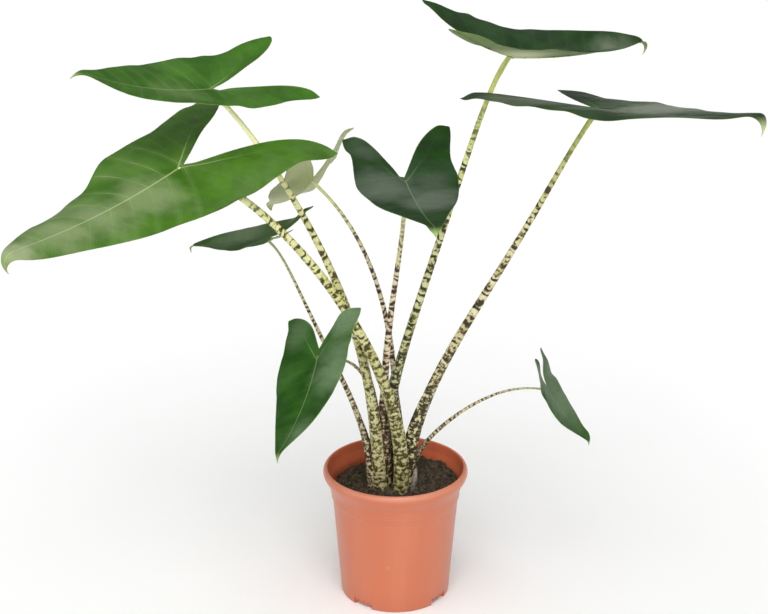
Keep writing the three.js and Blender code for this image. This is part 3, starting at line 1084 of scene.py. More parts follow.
        at = run[nearest[..., 0]] + part * (run[1] - run[0])
        behind = (at - 1.1 * away) / (0.17 * self.lobe) - 0.5
        wide = 0.0065 * self.length * (1 - 0.75 * np.clip(y / self.length, 0, 1)) + 0.2
        rib_wide = 0.0045 * self.length * (1 - 0.8 * at / run[-1]) + 0.2
        mid = np.where(y > -0.5 * self.sinus * self.length, x / wide, 9.0)
        rib = np.where(ahead > 0.3, 9.0, np.clip(flank * away / rib_wide, -9, 9))
        number = np.where(ahead > FIRST_VEIN, ahead, behind)
        lateral = np.abs(number - np.round(number))
        lateral = np.where((ahead <= FIRST_VEIN) & (behind < 0.3), 0.5, lateral)
        return {
            "ahead": ahead,
            "behind": np.maximum(behind, -0.45),
            "mid": np.clip(mid, 0, 9),
            "rib": rib,
            "lateral": lateral,
        }

    def build_blade(self) -> Piece:
        """Makes the blade as a closed thin shell of two faces with raised ribs below.

        Returns:
            The piece.
        """
        scale = math.sqrt(self.length / LONGEST_BLADE)
        front, back, columns = (int(n * scale) for n in BLADE_GRID)
        halves = [self.half_pattern(side, front, back, columns) for side in (0, 1)]
        maker = MeshMaker("flat", "veins", "ribs", "edge")
        bent = [self.bend(side, half[0], half[1]) for side, half in enumerate(halves)]
        normals = [self._normals(points) for points in bent]
        shared = unit(normals[0][: front + 1, 0] + normals[1][: front + 1, 0])
        upper, lower = [], []
        for side, (grid, u, v) in enumerate(halves):
            fields = self.rib_fields(side, grid)
            width = np.linalg.norm(grid[:, -1] - grid[:, 0], axis=-1)[:, None]
            in_lobe = (np.arange(len(u)) > front)[:, None]
            from_inside = np.where(in_lobe, v * width, np.inf)
            from_edge = np.minimum((1 - v) * width, from_inside)
            raised, sunk, swelling = self._relief(fields, from_edge)
            normals[side][: front + 1, 0] = shared
            normals[side][0] = shared[1]
            normal = normals[side]
            sign = 1 if side == 0 else -1
            maps = {
                "flat": (sign * grid[..., 0] / 100, grid[..., 1] / 100),
                "veins": (fields["ahead"], fields["behind"]),
                "ribs": (fields["mid"], fields["rib"]),
                "edge": (np.clip(from_edge / 10, 0, 1), grid[..., 1] / self.length),
            }
            thin = BLADE_THICKNESS * (0.45 + 0.55 * ease(from_edge / 6))
            for store, offset in ((upper, swelling - sunk), (lower, swelling - thin - raised)):
                numbers = maker.add_points(bent[side] + offset[..., None] * normal, **maps)
                numbers[0] = numbers[0, 0]
                numbers[-1] = numbers[-1, 0]
                if side == 1:
                    numbers[: front + 1, 0] = store[0][: front + 1, 0]
                    numbers[0] = store[0][0, 0]
                store.append(numbers)
        for side in (0, 1):
            left = side == 0
            maker.add_sheet(upper[side], 0, flip=left)
            maker.add_sheet(lower[side], 1, flip=not left)
            outer = np.stack([upper[side][:, -1], lower[side][:, -1]], axis=-1)
            maker.add_sheet(outer, 1, flip=left)
            gap = np.stack([upper[side][front:, 0], lower[side][front:, 0]], axis=-1)
            maker.add_sheet(gap, 1, flip=not left)
        name = f"leaf_{self.name}"
        finishes = [self.blade.material(name, face) for face in Face]
        return adopt(maker.build(name, finishes), f"blade_{self.name}")

    def _normals(self, points: Array) -> Array:
        """Upward normals of a grid of places, from its steps along and across.

        Args:
            points: The places in rows and columns.

        Returns:
            A normal for each place.
        """
        rows = np.gradient(points, axis=0)
        columns = np.gradient(points, axis=1)
        normal = np.cross(columns, rows)
        normal[0] = normal[1]
        normal[-1] = normal[-2]
        if (normal @ self.axes()[2]).sum() < 0:
            normal = -normal
        return unit(normal)

    def _relief(self, fields: dict[str, Array], from_edge: Array) -> tuple[Array, Array, Array]:
        """How far the ribs stand out below and are sunk above, and the swelling between them.

        Each rib is a bell curve of the distance from it.

        Args:
            fields: The vein fields over the half blade.
            from_edge: Distance from the edge in millimetres.

        Returns:
            The raised, sunk and swelling heights in millimetres.
        """
        size = self.length / LONGEST_BLADE
        fade = ease(from_edge / (12 * size))
        mid = np.exp(-((fields["mid"] / 1.1) ** 2))
        rib = np.exp(-((fields["rib"] / 1.1) ** 2))
        side = np.exp(-((fields["lateral"] / 0.045) ** 2)) * fade
        share = np.clip(1 - fields["ahead"] / 9.5, 0.1, 1)
        raised, sunk = (
            size * (middle * mid * share + lobe * rib + vein * side)
            for middle, lobe, vein in (RAISED, SUNK)
        )
        clear = ease(fields["mid"] / 5) * ease(np.abs(fields["rib"]) / 5)
        swelling = size * 0.2 * np.sin(math.pi * fields["lateral"]) * fade * clear
        return raised, sunk, swelling

    def path(self, t: Array) -> tuple[Array, Array, Array]:
        """The stalk's middle line, with two directions across it that don't turn round it.

        Args:
            t: Shares of the curve's parameter.

        Returns:
            Places, the directions of the inner side, and the directions square to those.
        """
        forward, _, above = self.axes()
        end = np.array(self.sits) - 0.5 * above - self.seat * self.length * forward
        controls = np.array([(*self.foot, STALK_FOOT), *self.bends, tuple(end)])
        points = pulled_curve(controls, t)
        ahead = unit(np.gradient(points, axis=0))
        outward = np.array([self.sits[0] - self.foot[0], self.sits[1] - self.foot[1], 0.0])
        sideways = np.cross(unit(outward), [0.0, 0.0, 1.0])
        inner = unit(np.cross(sideways, ahead))
        return points, inner, np.cross(ahead, inner)

    def radius(self, share: Array) -> Array:
        """Radius of the stalk, which thins out from the foot and has a knee below the blade.

        Args:
            share: Shares of the stalk's length.

        Returns:
            The radii in millimetres.
        """
        low, high = self.thick
        plain = high + (low - high) * (1 - share) ** STALK_TAPER
        knee = 0.16 * high * np.exp(-(((share - 0.97) / 0.02) ** 2))
        return plain + knee + self.swell * (1 - ease(share / SHEATH_SHARE))

    def build_stalk(self) -> Piece:
        """Makes the stalk: rings along its line, with a shallow channel on the inner side.

        Returns:
            The piece.
        """
        rows, sides = 260, 30
        t = np.linspace(0, 1, rows + 1)
        points, inner, third = self.path(t)
        run = along_line(points)
        share = run / run[-1]
        angle = np.arange(sides) * TURN / sides
        near = np.minimum(angle, TURN - angle)
        channel = 0.16 * np.exp(-((near / 0.5) ** 2)) * (0.35 + 0.65 * ease(share * 3))[:, None]
        grain = lattice_noise(turned(3, angle[None], run[:, None] / 14), 1.0, len(self.name))
        wide = self.radius(share)[:, None] * (1 - channel + 0.02 * grain)
        ring = around(points[:, None], wide, angle, inner[:, None], third[:, None])
        above = self.axes()[2]
        height = (ring - np.array(self.sits)) @ above + 0.7
        close = np.linalg.norm(ring - np.array(self.sits), axis=-1) < 30
        ring = ring - (np.maximum(height, 0) * close)[..., None] * above
        maker = MeshMaker("round", "along")
        maps = {
            "round": (wide * np.cos(angle) / 100, wide * np.sin(angle) / 100),
            "along": (run[:, None] / 100, share[:, None]),
        }
        numbers = maker.add_points(ring, **maps)
        maker.add_sheet(numbers, closed=True)
        for row, flip in ((0, True), (-1, False)):
            cap = {"along": (run[row] / 100, share[row])}
            middle = maker.add_points(ring[row].mean(axis=0)[None], **cap)
            maker.add_cap(numbers[row], int(middle[0]), flip=flip)
        self._add_sheath(maker, points, inner, third, run)
        name = f"banded_stalk_{self.name}"
        return adopt(maker.build(name, [self.bark.material(name)]), f"stalk_{self.name}")

    def _add_sheath(
        self, maker: MeshMaker, points: Array, inner: Array, third: Array, run: Array
    ) -> None:
        """Adds the two thin wings of the sheath, which close over the stalk's inner side.

        A wing is a strip along the lower stalk: across it the angle round the stalk moves from
        the flank to past the middle of the inner side while it lifts off, and its width
        shrinks to nothing at its pointed top.

        Args:
            maker: The stalk's mesh.
            points: The stalk's middle line.
            inner: Directions of its inner side.
            third: Directions square to those.
            run: Distances along the stalk.
        """
        share = run / run[-1]
        low = share <= SHEATH_SHARE
        share, run = share[low], run[low]
        middle, inner, third = (part[low][:, None] for part in (points, inner, third))
        across = np.linspace(0, 1, 7)
        wide = (1 - (share / SHEATH_SHARE) ** 3.2) ** 0.8
        radius = self.radius(share)
        for sign in (-1, 1):
            reach = (1.25 - sign * 0.12) * wide
            angle = sign * (1.6 - reach[:, None] * across)
            lift = (0.03 + 0.3 * across[None] ** 1.4 * (0.7 + 0.3 * sign)) * wide[:, None]
            faces = []
            for thickness, flip in ((0.5, sign < 0), (0.0, sign > 0)):
                off = radius[:, None] * (1 + lift) + thickness
                maps = {
                    "round": (off * np.cos(angle) / 100, off * np.sin(angle) / 100),
                    "along": (run[:, None] / 100, share[:, None]),
                }
                strip = around(middle, off, angle, inner, third)
                faces.append(maker.add_points(strip, **maps))
                maker.add_sheet(faces[-1], flip=flip)
            maker.add_rims(*faces, flip=sign > 0)


@dataclass(frozen=True)
class PotFinish:
    """Terracotta-orange moulded plastic, bright outside and stained inside by the soil."""

    outside: int = 0xC46A47
    light: int = 0xCE7A59
    scuff: int = 0xE8B8A0
    # Pale tint on top of the lip: a painted highlight where the lip's roll catches the light
    lip: int = 0xECBEAC
    foot: int = 0x9C5A44
    # Base colour of the inner wall: the same plastic painted lighter than outside, as painted light on
    # the inner wall
    inside: int = 0xE0744E
    inner_shade: int = 0xB65B3E
    inner_scuff: int = 0x8A4A34
    stain: int = 0x4A2E20
    ring_spacing: float = 0.0042

    def material(self, inner: bool) -> Material:
        """The material of the outer or the inner wall.

        Streaks of the moulding run up the wall, and fine rings, which are a sine of the
        height, run round it and are deepest on the band. Outside, a pale band on the lip is a
        painted highlight; inside, the base colour is painted lighter than the outside's, as
        painted light on the inner wall.

        Args:
            inner: True for the inside.

        Returns:
            The material.
        """
        name = "pot_plastic_inside" if inner else "pot_plastic_outside"
        paint = Painter(name, Coat_Weight=0.35, Coat_Roughness=0.16)
        where = paint.place()
        height = paint.node("SeparateXYZ", where).outputs[2]
        drawn = paint.node("Mapping", where)
        drawn.inputs["Scale"].default_value = (1.0, 1.0, 0.12)
        flow = paint.noise(drawn.outputs[0], 26.0, 3.0)
        streaks = paint.times(paint.between(flow, 0.35, 0.75), 0.5)
        scuffs = paint.times(paint.between(paint.noise(where, 60.0, 5.0, 0.7), 0.62, 0.75), 0.12)
        if inner:
            ragged = paint.line(paint.noise(where, 14.0, 3.0), 0.014, height)
            grit = paint.between(paint.noise(where, 420.0, 3.0), 0.35, 0.65)
            dirt = paint.times(paint.between(ragged, 0.150, 0.141), paint.line(grit, 0.45, 0.1))
            layers = ((streaks, self.inner_shade), (scuffs, self.inner_scuff), (dirt, self.stain))
        else:
            # A pale band round the top of the lip: a painted highlight
            lip = paint.times(paint.between(height, 0.1535, 0.1575), 0.16)
            foot = paint.times(paint.between(height, 0.03, 0.0), 0.18)
            layers = ((streaks, self.light), (scuffs, self.scuff), (lip, self.lip), (foot, self.foot))
        # The inner wall's lighter base colour is painted light
        paint.colour(paint.layered(self.inside if inner else self.outside, *layers))
        paint.roughness(flow, 0.2, 0.8, 0.36, 0.5)
        uneven = paint.line(flow, 0.003, height)
        rings = paint.math("SINE", paint.times(uneven, TURN / self.ring_spacing))
        band = paint.times(paint.between(height, 0.114, 0.120), paint.between(height, 0.142, 0.134))
        grooves = paint.times(rings, paint.line(band, 0.9, 0.06))
        fine = paint.times(paint.noise(where, 900.0), 0.5)
        paint.relief(paint.line(grooves, 1.3, fine), 0.00016, 0.6)
        return paint.material


@dataclass
class NurseryPot:
    """The round pot: a profile carried round the axis, with notches at the foot."""

    sides: int = 192
    notches: int = 4
    notch_height: float = 9.0
    notch_width: float = 26.0
    notch_depth: float = 11.0
    notch_columns: int = 14
    rounding: float = 1.1
    finish: PotFinish = PotFinish()

    def profile(self) -> tuple[Array, int]:
        """The rounded profile: up the outside, over the lip, and down to the floor's middle.

        Every corner is cut by a short curve that begins and ends 1.1 mm from it, or nearer
        where its neighbour is close.

        Returns:
            Radius and height of each point, and the number of the point on top of the lip.
        """
        band, neck = RIM_RADIUS - 8.9, RIM_RADIUS - 11.6
        corners = np.array(
            [
                (BASE_RADIUS - 0.6, 0.6),
                (BASE_RADIUS, 2.2),
                (BASE_RADIUS + 0.45, self.notch_height),
                (neck, BAND_BOTTOM),
                (neck + 0.5, BAND_BOTTOM + 4),
                (band - 0.5, BAND_TOP - 6),
                (band, BAND_TOP),
                (band + 1.1, BAND_TOP + 5),
                (RIM_RADIUS - 5.2, BAND_TOP + 11.5),
                (RIM_RADIUS - 2.0, BAND_TOP + 17),
                (RIM_RADIUS + 0.1, POT_HEIGHT - 9),
                (RIM_RADIUS - 0.1, POT_HEIGHT - 6),
                (RIM_RADIUS - 1.6, POT_HEIGHT - 3),
                (RIM_RADIUS - 4, POT_HEIGHT - 1.6),
                (RIM_RADIUS - 5.4, POT_HEIGHT - 2.4),
                (RIM_RADIUS - 6.4, POT_HEIGHT - 13),
                (band - WALL + 0.8, BAND_TOP + 6),
                (band - WALL, BAND_TOP),
                (neck - WALL, BAND_BOTTOM),
                (BASE_RADIUS - WALL + 0.1, POT_FLOOR + 2),
                (BASE_RADIUS - WALL - 2, POT_FLOOR),
                (0.0, POT_FLOOR),
            ]
        )
        smooth = [corners[:1]]
        for before, corner, after in zip(corners[:-2], corners[1:-1], corners[2:]):
            steps = []
            for other in (before, after):
                gap = other - corner
                reach = min(self.rounding, 0.45 * float(np.linalg.norm(gap)))
                steps.append(corner + gap / np.linalg.norm(gap) * reach)
            smooth.append(pulled_curve(np.array([steps[0], corner, steps[1]]), np.linspace(0, 1, 4)))
        smooth.append(corners[-1:])
        line = np.concatenate(smooth)
        return line, int(line[:, 1].argmax())

    def build(self) -> Piece:
        """Makes the pot.

        The sides are shared out among the walls between the notches. In a notch the profile's
        foot runs inwards and up instead of out, and where it begins and ends two columns in
        one place make its side walls.

        Returns:
            The piece.
        """
        line, lip = self.profile()
        half = math.asin(self.notch_width / 2 / BASE_RADIUS)
        angles, cut = [], []
        for number in range(self.notches):
            centre = math.radians(FIRST_NOTCH) + number * TURN / self.notches
            inside = np.linspace(centre - half, centre + half, self.notch_columns)
            gap = TURN / self.notches - 2 * half
            outside = np.linspace(centre + half, centre + half + gap, self.sides // self.notches)
            angles += [inside, outside]
            cut += [np.ones(len(inside), bool), np.zeros(len(outside), bool)]
        angle, cut = np.concatenate(angles), np.concatenate(cut)
        edge = [(BASE_RADIUS - gap, rise) for gap, rise in ((12, 0.0), (2.6, 0.0), (1.6, 0.1))]
        plain = np.concatenate([[(0.0, 0.0)], edge, line])
        under = 1 + len(edge)
        top = int(np.flatnonzero(line[:, 1] >= self.notch_height - 0.01)[0]) + under
        notched = plain.copy()
        notched[1:top, 0] = BASE_RADIUS - self.notch_depth
        notched[1:3, 1] = 0.0
        notched[3, 1] = self.notch_height / 2
        notched[4:top, 1] = self.notch_height
        shape = np.where(cut[:, None, None], notched[None], plain[None])
        maker = MeshMaker()
        numbers = maker.add_points(turned(shape[..., 0], angle[:, None], shape[..., 1]))
        numbers[:, 0] = numbers[0, 0]
        numbers[:, -1] = numbers[0, -1]
        ring = np.concatenate([numbers, numbers[:1]])
        maker.add_sheet(ring[:, : under + lip + 1], 0, flip=True)
        maker.add_sheet(ring[:, under + lip :], 1, flip=True)
        finishes = [self.finish.material(inner) for inner in (False, True)]
        return adopt(maker.build("nursery_pot", finishes, sharp=40), "pot")


@dataclass(frozen=True)
class PeatFinish:
    """Dark moist peat with a green bloom of moss here and there."""

    dark: int = 0x1B130D
    light: int = 0x76634C
    moss: int = 0x4C5232
    mossy: float = 0.35

    def material(self, name: str) -> Material:
        """The material, whose tone and relief follow a coarse and a fine noise together.

        Args:
            name: Name of the material.

        Returns:
            The material.
        """
        paint = Painter(name)
        where = paint.place()
        coarse = paint.noise(where, 260.0, 5.0, 0.65)
        tone = paint.line(paint.noise(where, 1500.0, 3.0, 0.6), 0.6, paint.times(coarse, 0.6))
        body = paint.blend(paint.between(tone, 0.5, 0.8), self.dark, self.light)
        patch = paint.between(paint.noise(where, 34.0, 3.0, 0.6), 0.52, 0.66)
        paint.colour(paint.blend(paint.times(patch, self.mossy), body, self.moss))
        paint.roughness(coarse, 0.3, 0.7, 0.7, 0.98)
        paint.relief(tone, 0.0018, 0.9)
        return paint.material


@dataclass(frozen=True)
class PlainFinish:
    """A natural finish of two blended tones with a grain."""

    first: int
    second: int
    roughness: float
    scale: float
    depth: float

    def material(self, name: str) -> Material:
        """The material, whose tones follow a broad and a fine noise, and its relief the fine.

        Args:
            name: Name of the material.

        Returns:
            The material.
        """
        paint = Painter(name)
        where = paint.place()
        grain = paint.noise(where, self.scale, 4.0, 0.6)
        broad = paint.noise(where, self.scale * 0.12)
        tone = paint.between(paint.line(broad, 0.5, paint.times(grain, 0.5)), 0.35, 0.65)
        paint.colour(paint.blend(tone, self.first, self.second))
        paint.roughness(grain, 0.3, 0.7, self.roughness - 0.08, self.roughness + 0.08)
        paint.relief(grain, self.depth, 0.7)
        return paint.material


FIBRE = PlainFinish(first=0x3A2C1E, second=0x6E5940, roughness=0.85, scale=900.0, depth=0.0004)
MOSS = PlainFinish(first=0x363F22, second=0x636C3C, roughness=0.75, scale=500.0, depth=0.0002)
STEM_BARK = PlainFinish(first=0x3B2A1C, second=0x8A6E4C, roughness=0.85, scale=240.0, depth=0.0008)
PAPER = PlainFinish(first=0x3A342B, second=0xB0A896, roughness=0.9, scale=260.0, depth=0.0008)


def soil_height(x: Array, y: Array) -> Array:
    """Height of the packed soil's top: waves of crumbs, and higher to the right."""
    crumbs = np.sin(0.31 * x + 1.3) * np.cos(0.27 * y) + 0.6 * np.sin(0.19 * (x - y))
    return SOIL_LEVEL + 2.2 * crumbs + 0.05 * x


@dataclass
class SoilBed:
    """The soil with its crumbs and fibres, and moss round a few homes on top.

    A mound has its height, its place across and in depth, and its spread along both.
    """

    radius: float = 74.6
    turns: int = 420
    rings: int = 96
    lumps: int = 1300
    crumbs: int = 420
    fibres: int = 110
    moss_tufts: int = 1500
    seed: int = 11
    mounds: tuple[tuple[float, ...], ...] = ((7.0, 42, 40, 22, 20), (5.0, -44, 28, 18, 20))
    homes: tuple[tuple[float, float], ...] = (
        (-47, 14), (-40, 33), (-56, -6), (38, 36), (50, 20), (30, 48), (-8, 60),
    )

    def surface(self, x: Array, y: Array) -> Array:
        """Height of the finished soil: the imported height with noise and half-sunk lumps.

        A lump is the cap of a ball, and the highest one counts. The lumps are taken in
        batches to save memory.

        Args:
            x: Places across.
            y: Places in depth.

        Returns:
            Heights in millimetres.
        """
        random = np.random.default_rng(self.seed)
        mound = sum(
            high * np.exp(-(((x - across) / wide) ** 2 + ((y - back) / deep) ** 2))
            for high, across, back, wide, deep in self.mounds
        )
        base = soil_height(x, y) + mound + 1.7 * rough_noise(flat_points(x, y), 11.0, 3, 4)
        spot = self.radius * np.sqrt(random.random(self.lumps))
        angle = random.random(self.lumps) * TURN
        size = 1.2 + 4.8 * random.random(self.lumps) ** 2.2
        cx, cy = spot * np.cos(angle), spot * np.sin(angle)
        cap = np.zeros(x.shape)
        batch = 60
        for start in range(0, self.lumps, batch):
            part = slice(start, start + batch)
            away = (x[..., None] - cx[part]) ** 2 + (y[..., None] - cy[part]) ** 2
            tall = np.sqrt(np.maximum(size[part] ** 2 - away, 0)) - 0.35 * size[part]
            cap = np.maximum(cap, tall.max(axis=-1))
        return base + 0.85 * cap

    def build(self) -> Piece:
        """Makes the soil as a closed body: its crumbly top, and the wall and floor in the pot.

        Returns:
            The piece.
        """
        angle = np.arange(self.turns) * TURN / self.turns
        ring = np.linspace(0, 1, self.rings + 1)[1:]
        radius = self.radius * ring[::-1]
        x = radius[:, None] * np.cos(angle)
        y = radius[:, None] * np.sin(angle)
        z = self.surface(x, y) - 1.6 * ease((radius - (self.radius - 3)) / 3)[:, None]
        maker = MeshMaker()
        top = maker.add_points(np.stack([x, y, z], axis=-1))
        middle = maker.add_points(np.array([[0.0, 0.0, float(z[-1].mean())]]))
        maker.add_sheet(top, closed=True, flip=True)
        maker.add_cap(top[-1], int(middle[0]))
        wall = [(72.2, BAND_BOTTOM), (62.9, POT_FLOOR + 2.6), (60.5, POT_FLOOR + 0.4)]
        rows = [maker.add_points(turned(wide, angle, height)) for wide, height in wall]
        maker.add_sheet(np.stack([top[0], *rows]), closed=True)
        floor = maker.add_points(np.array([[0.0, 0.0, POT_FLOOR + 0.4]]))
        maker.add_cap(rows[-1], int(floor[0]), flip=True)
        self._add_crumbs(maker)
        self._add_fibres(maker)
        finishes = [PeatFinish().material("peat"), FIBRE.material("peat_fibre")]
        return adopt(maker.build("peat_bed", finishes), "soil")

    def _scatter(self, count: int, reach: float, seed: int) -> tuple[Array, Array, Array]:
        """Random places on the soil, clear of the stalks.

        Args:
            count: Number of places.
            reach: Largest distance from the middle in millimetres.
            seed: Start of the random values.

        Returns:
            The places across and in depth, and their heights.
        """
        random = np.random.default_rng(seed)
        radius = reach * np.sqrt(0.13 + 0.87 * random.random(count))
        angle = random.random(count) * TURN
        x, y = radius * np.cos(angle), radius * np.sin(angle)
        return x, y, self.surface(x, y)

    def _add_crumbs(self, maker: MeshMaker) -> None:
        """Adds loose crumbs: balls of twenty faces pushed in and out at random.

        Args:
            maker: The soil's mesh.
        """
        golden = (1 + math.sqrt(5)) / 2
        corners = [(-1, golden, 0), (1, golden, 0), (-1, -golden, 0), (1, -golden, 0)]
        ball = unit(np.array([np.roll(c, k) for k in range(3) for c in corners], float))
        faces = []
        for i, j, k in combinations(range(12), 3):
            a, b, c = ball[[i, j, k]]
            if max(np.linalg.norm(side) for side in (a - b, b - c, a - c)) < 1.1:
                outwards = np.dot(np.cross(b - a, c - a), a) > 0
                faces.append((i, j, k, k) if outwards else (i, k, j, j))
        random = np.random.default_rng(self.seed + 1)
        x, y, z = self._scatter(self.crumbs, self.radius - 4, self.seed + 2)
        size = 0.8 + 2.4 * random.random(self.crumbs) ** 2
        shape = ball[None] * (0.75 + 0.5 * random.random((self.crumbs, 12, 1)))
        shape = shape * (0.7 + 0.6 * random.random((self.crumbs, 1, 3))) * size[:, None, None]
        place = np.stack([x, y, z + 0.35 * size], axis=-1)[:, None]
        numbers = maker.add_points(place + shape)
        maker.add_faces(numbers[:, 0][:, None, None] + np.array(faces)[None])

    def _add_fibres(self, maker: MeshMaker) -> None:
        """Adds thin bent fibres that lie on the soil, each a five-sided tube.

        Args:
            maker: The soil's mesh.
        """
        random = np.random.default_rng(self.seed + 3)
        x, y, _ = self._scatter(self.fibres, self.radius - 9, self.seed + 4)
        heading = random.random(self.fibres) * TURN
        bend = random.normal(0, 0.9, self.fibres)
        long = 5 + 11 * random.random(self.fibres)
        s = np.linspace(-0.5, 0.5, 9)
        course = heading[:, None] + bend[:, None] * s
        step = long[:, None] / 8
        px = x[:, None] + np.cumsum(np.cos(course) * step, axis=1)
        py = y[:, None] + np.cumsum(np.sin(course) * step, axis=1)
        limit = (self.radius - 2) / np.maximum(np.hypot(px, py), self.radius - 2)
        px, py = px * limit, py * limit
        pz = self.surface(px, py) + 0.5 + 1.3 * random.random((self.fibres, 1)) * (1 - 4 * s * s)
        path = np.stack([px, py, pz], axis=-1)
        ahead = unit(np.gradient(path, axis=1))
        side = unit(np.cross(ahead, [0.0, 0.0, 1.0]))
        above = np.cross(side, ahead)
        angle = np.arange(5) * TURN / 5
        wide = (0.12 + 0.2 * random.random(self.fibres))[:, None, None]
        tube = around(path[:, :, None], wide, angle, side[:, :, None], above[:, :, None])
        numbers = maker.add_points(tube)
        for strand in numbers:
            maker.add_sheet(strand, 1, closed=True)
            for row, flip in ((0, True), (-1, False)):
                a, b, c, d, e = strand[row]
                cap = np.array([(a, b, c, d), (a, d, e, e)])
                maker.add_faces(cap[:, ::-1] if flip else cap, 1)

    def build_moss(self) -> Piece:
        """Makes the moss: short pointed leaflets in loose cushions.

        A leaflet is a narrow folded blade of four corners that leans out of its tuft.

        Returns:
            The piece.
        """
        random = np.random.default_rng(self.seed + 5)
        pick = random.integers(0, len(self.homes), self.moss_tufts)
        gap = random.normal(0, 1, (self.moss_tufts, 2)) * np.array([6.0, 5.0])
        spot = np.array(self.homes)[pick] + gap
        spot = spot * np.minimum(1, (self.radius - 3) / np.hypot(spot[:, 0], spot[:, 1]))[:, None]
        ground = self.surface(spot[:, 0], spot[:, 1])
        heading = random.random(self.moss_tufts) * TURN
        lean = 0.25 + 0.75 * random.random(self.moss_tufts)
        long = 1.3 + 2.1 * random.random(self.moss_tufts)
        out = np.stack([np.cos(heading), np.sin(heading), 0 * heading], axis=-1)
        across = np.stack([-np.sin(heading), np.cos(heading), 0 * heading], axis=-1)
        up = np.array([0.0, 0.0, 1.0])
        grow = unit(out * np.sin(lean)[:, None] + up * np.cos(lean)[:, None])
        base = np.concatenate([spot, ground[:, None] - 0.3], axis=1)
        tip = base + grow * long[:, None]
        middle = base + grow * (0.45 * long)[:, None]
        wide = (0.28 + 0.2 * random.random(self.moss_tufts))[:, None]
        fold = np.cross(across, grow) * 0.12
        corners = np.stack(
            [base, middle + across * wide, tip, middle - across * wide, middle + fold, middle - fold],
            axis=1,
        )
        maker = MeshMaker()
        numbers = maker.add_points(corners)
        a, b, c, d, e, f = (numbers[:, k] for k in range(6))
        front = [(a, b, e), (b, c, e), (c, d, e), (d, a, e)]
        rear = [(b, a, f), (c, b, f), (d, c, f), (a, d, f)]
        faces = [np.stack([*trio, trio[2]], axis=-1) for trio in front + rear]
        maker.add_faces(np.concatenate(faces))
        piece = maker.build("moss", [MOSS.material("moss_green")])
        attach(piece, "root")
        return piece


@dataclass
class Rootstock:
    """The short upright stem under the soil, ringed by the scars of old leaves."""

    radius: float = 25.0
    top: float = 121.0
    length: float = 52.0
    scars: int = 9

    def build(self) -> Piece:
        """Makes the stem: a rounded profile with a saw-toothed edge, made uneven by noise.

        Returns:
            The piece.
        """
        rows, sides = 90, 72
        s = np.linspace(0, 1, rows + 1)
        body = self.radius * (0.78 + 0.2 * s) * np.sqrt(1 - np.maximum(0, (s - 0.8) / 0.21) ** 2)
        body = body * np.sqrt(np.clip(s / 0.08, 0.05, 1))
        teeth = 0.9 * (self.scars * s % 1.0)
        angle = np.arange(sides) * TURN / sides
        place = turned(20, angle[None], self.length * s[:, None])
        wide = (body - teeth)[:, None] + 0.8 * rough_noise(place, 9.0, 21)
        wide = np.minimum(np.maximum(wide, 1.5), self.radius - 0.1)
        height = self.top - self.length * (1 - s)[:, None]
        maker = MeshMaker()
        numbers = maker.add_points(turned(wide, angle, height))
        maker.add_sheet(numbers, closed=True)
        for row, flip in ((0, True), (-1, False)):
            middle = maker.add_points(np.array([[0.0, 0.0, float(height[row, 0])]]))
            maker.add_cap(numbers[row], int(middle[0]), flip=flip)
        return adopt(maker.build("rootstock", [STEM_BARK.material("rootstock_bark")]), "stem")


@dataclass
class SpentSheath:
    """The dried stub of an old sheath: a curled papery tongue with a torn top."""

    line: tuple[tuple[float, float, float], ...] = (
        (20, -20, 122), (20, -21, 140), (21, -21, 152), (23, -19, 166),
    )
    half_width: float = 6.2

    def build(self) -> Piece:
        """Makes the stub: a strip that curls round its own line, with a thickness of 0.6 mm.

        Returns:
            The piece.
        """
        rows, columns = 60, 24
        t = np.linspace(0, 1, rows + 1)
        path = pulled_curve(np.array(self.line, float), t)
        v = np.linspace(-1, 1, columns + 1)
        side = np.array([0.93, -0.3, 0.0])
        face = np.array([-0.3, -0.93, 0.12])
        wide = self.half_width * (1 - 0.45 * t**2)
        curl = 1.1 + 0.5 * t
        angle = v[None] * curl[:, None]
        across = wide[:, None] * np.sin(angle) / curl[:, None]
        depth = wide[:, None] * (1 - np.cos(angle)) / curl[:, None]
        sheet = np.stack(np.broadcast_arrays(40 * t[:, None], 6 * v[None], 0.0), axis=-1)
        crumple = 0.5 * rough_noise(sheet, 6.0, 31) * (0.3 + t)[:, None]
        torn = 4.5 * rough_noise(sheet[-1:], 3.0, 33)[0] - 3.0 * np.abs(v) ** 1.5
        maker = MeshMaker()
        layers = []
        for offset in (0.3, -0.3):
            points = path[:, None] + across[..., None] * side - depth[..., None] * face
            points = points + (crumple + offset)[..., None] * face
            points[..., 2] += torn[None] * (t[:, None] ** 3)
            layers.append(maker.add_points(points))
        outer, inner = layers
        maker.add_sheet(outer)
        maker.add_sheet(inner, flip=True)
        maker.add_rims(outer, inner, flip=True)
        return adopt(maker.build("dry_sheath", [PAPER.material("dry_sheath")]), "spent_sheath")


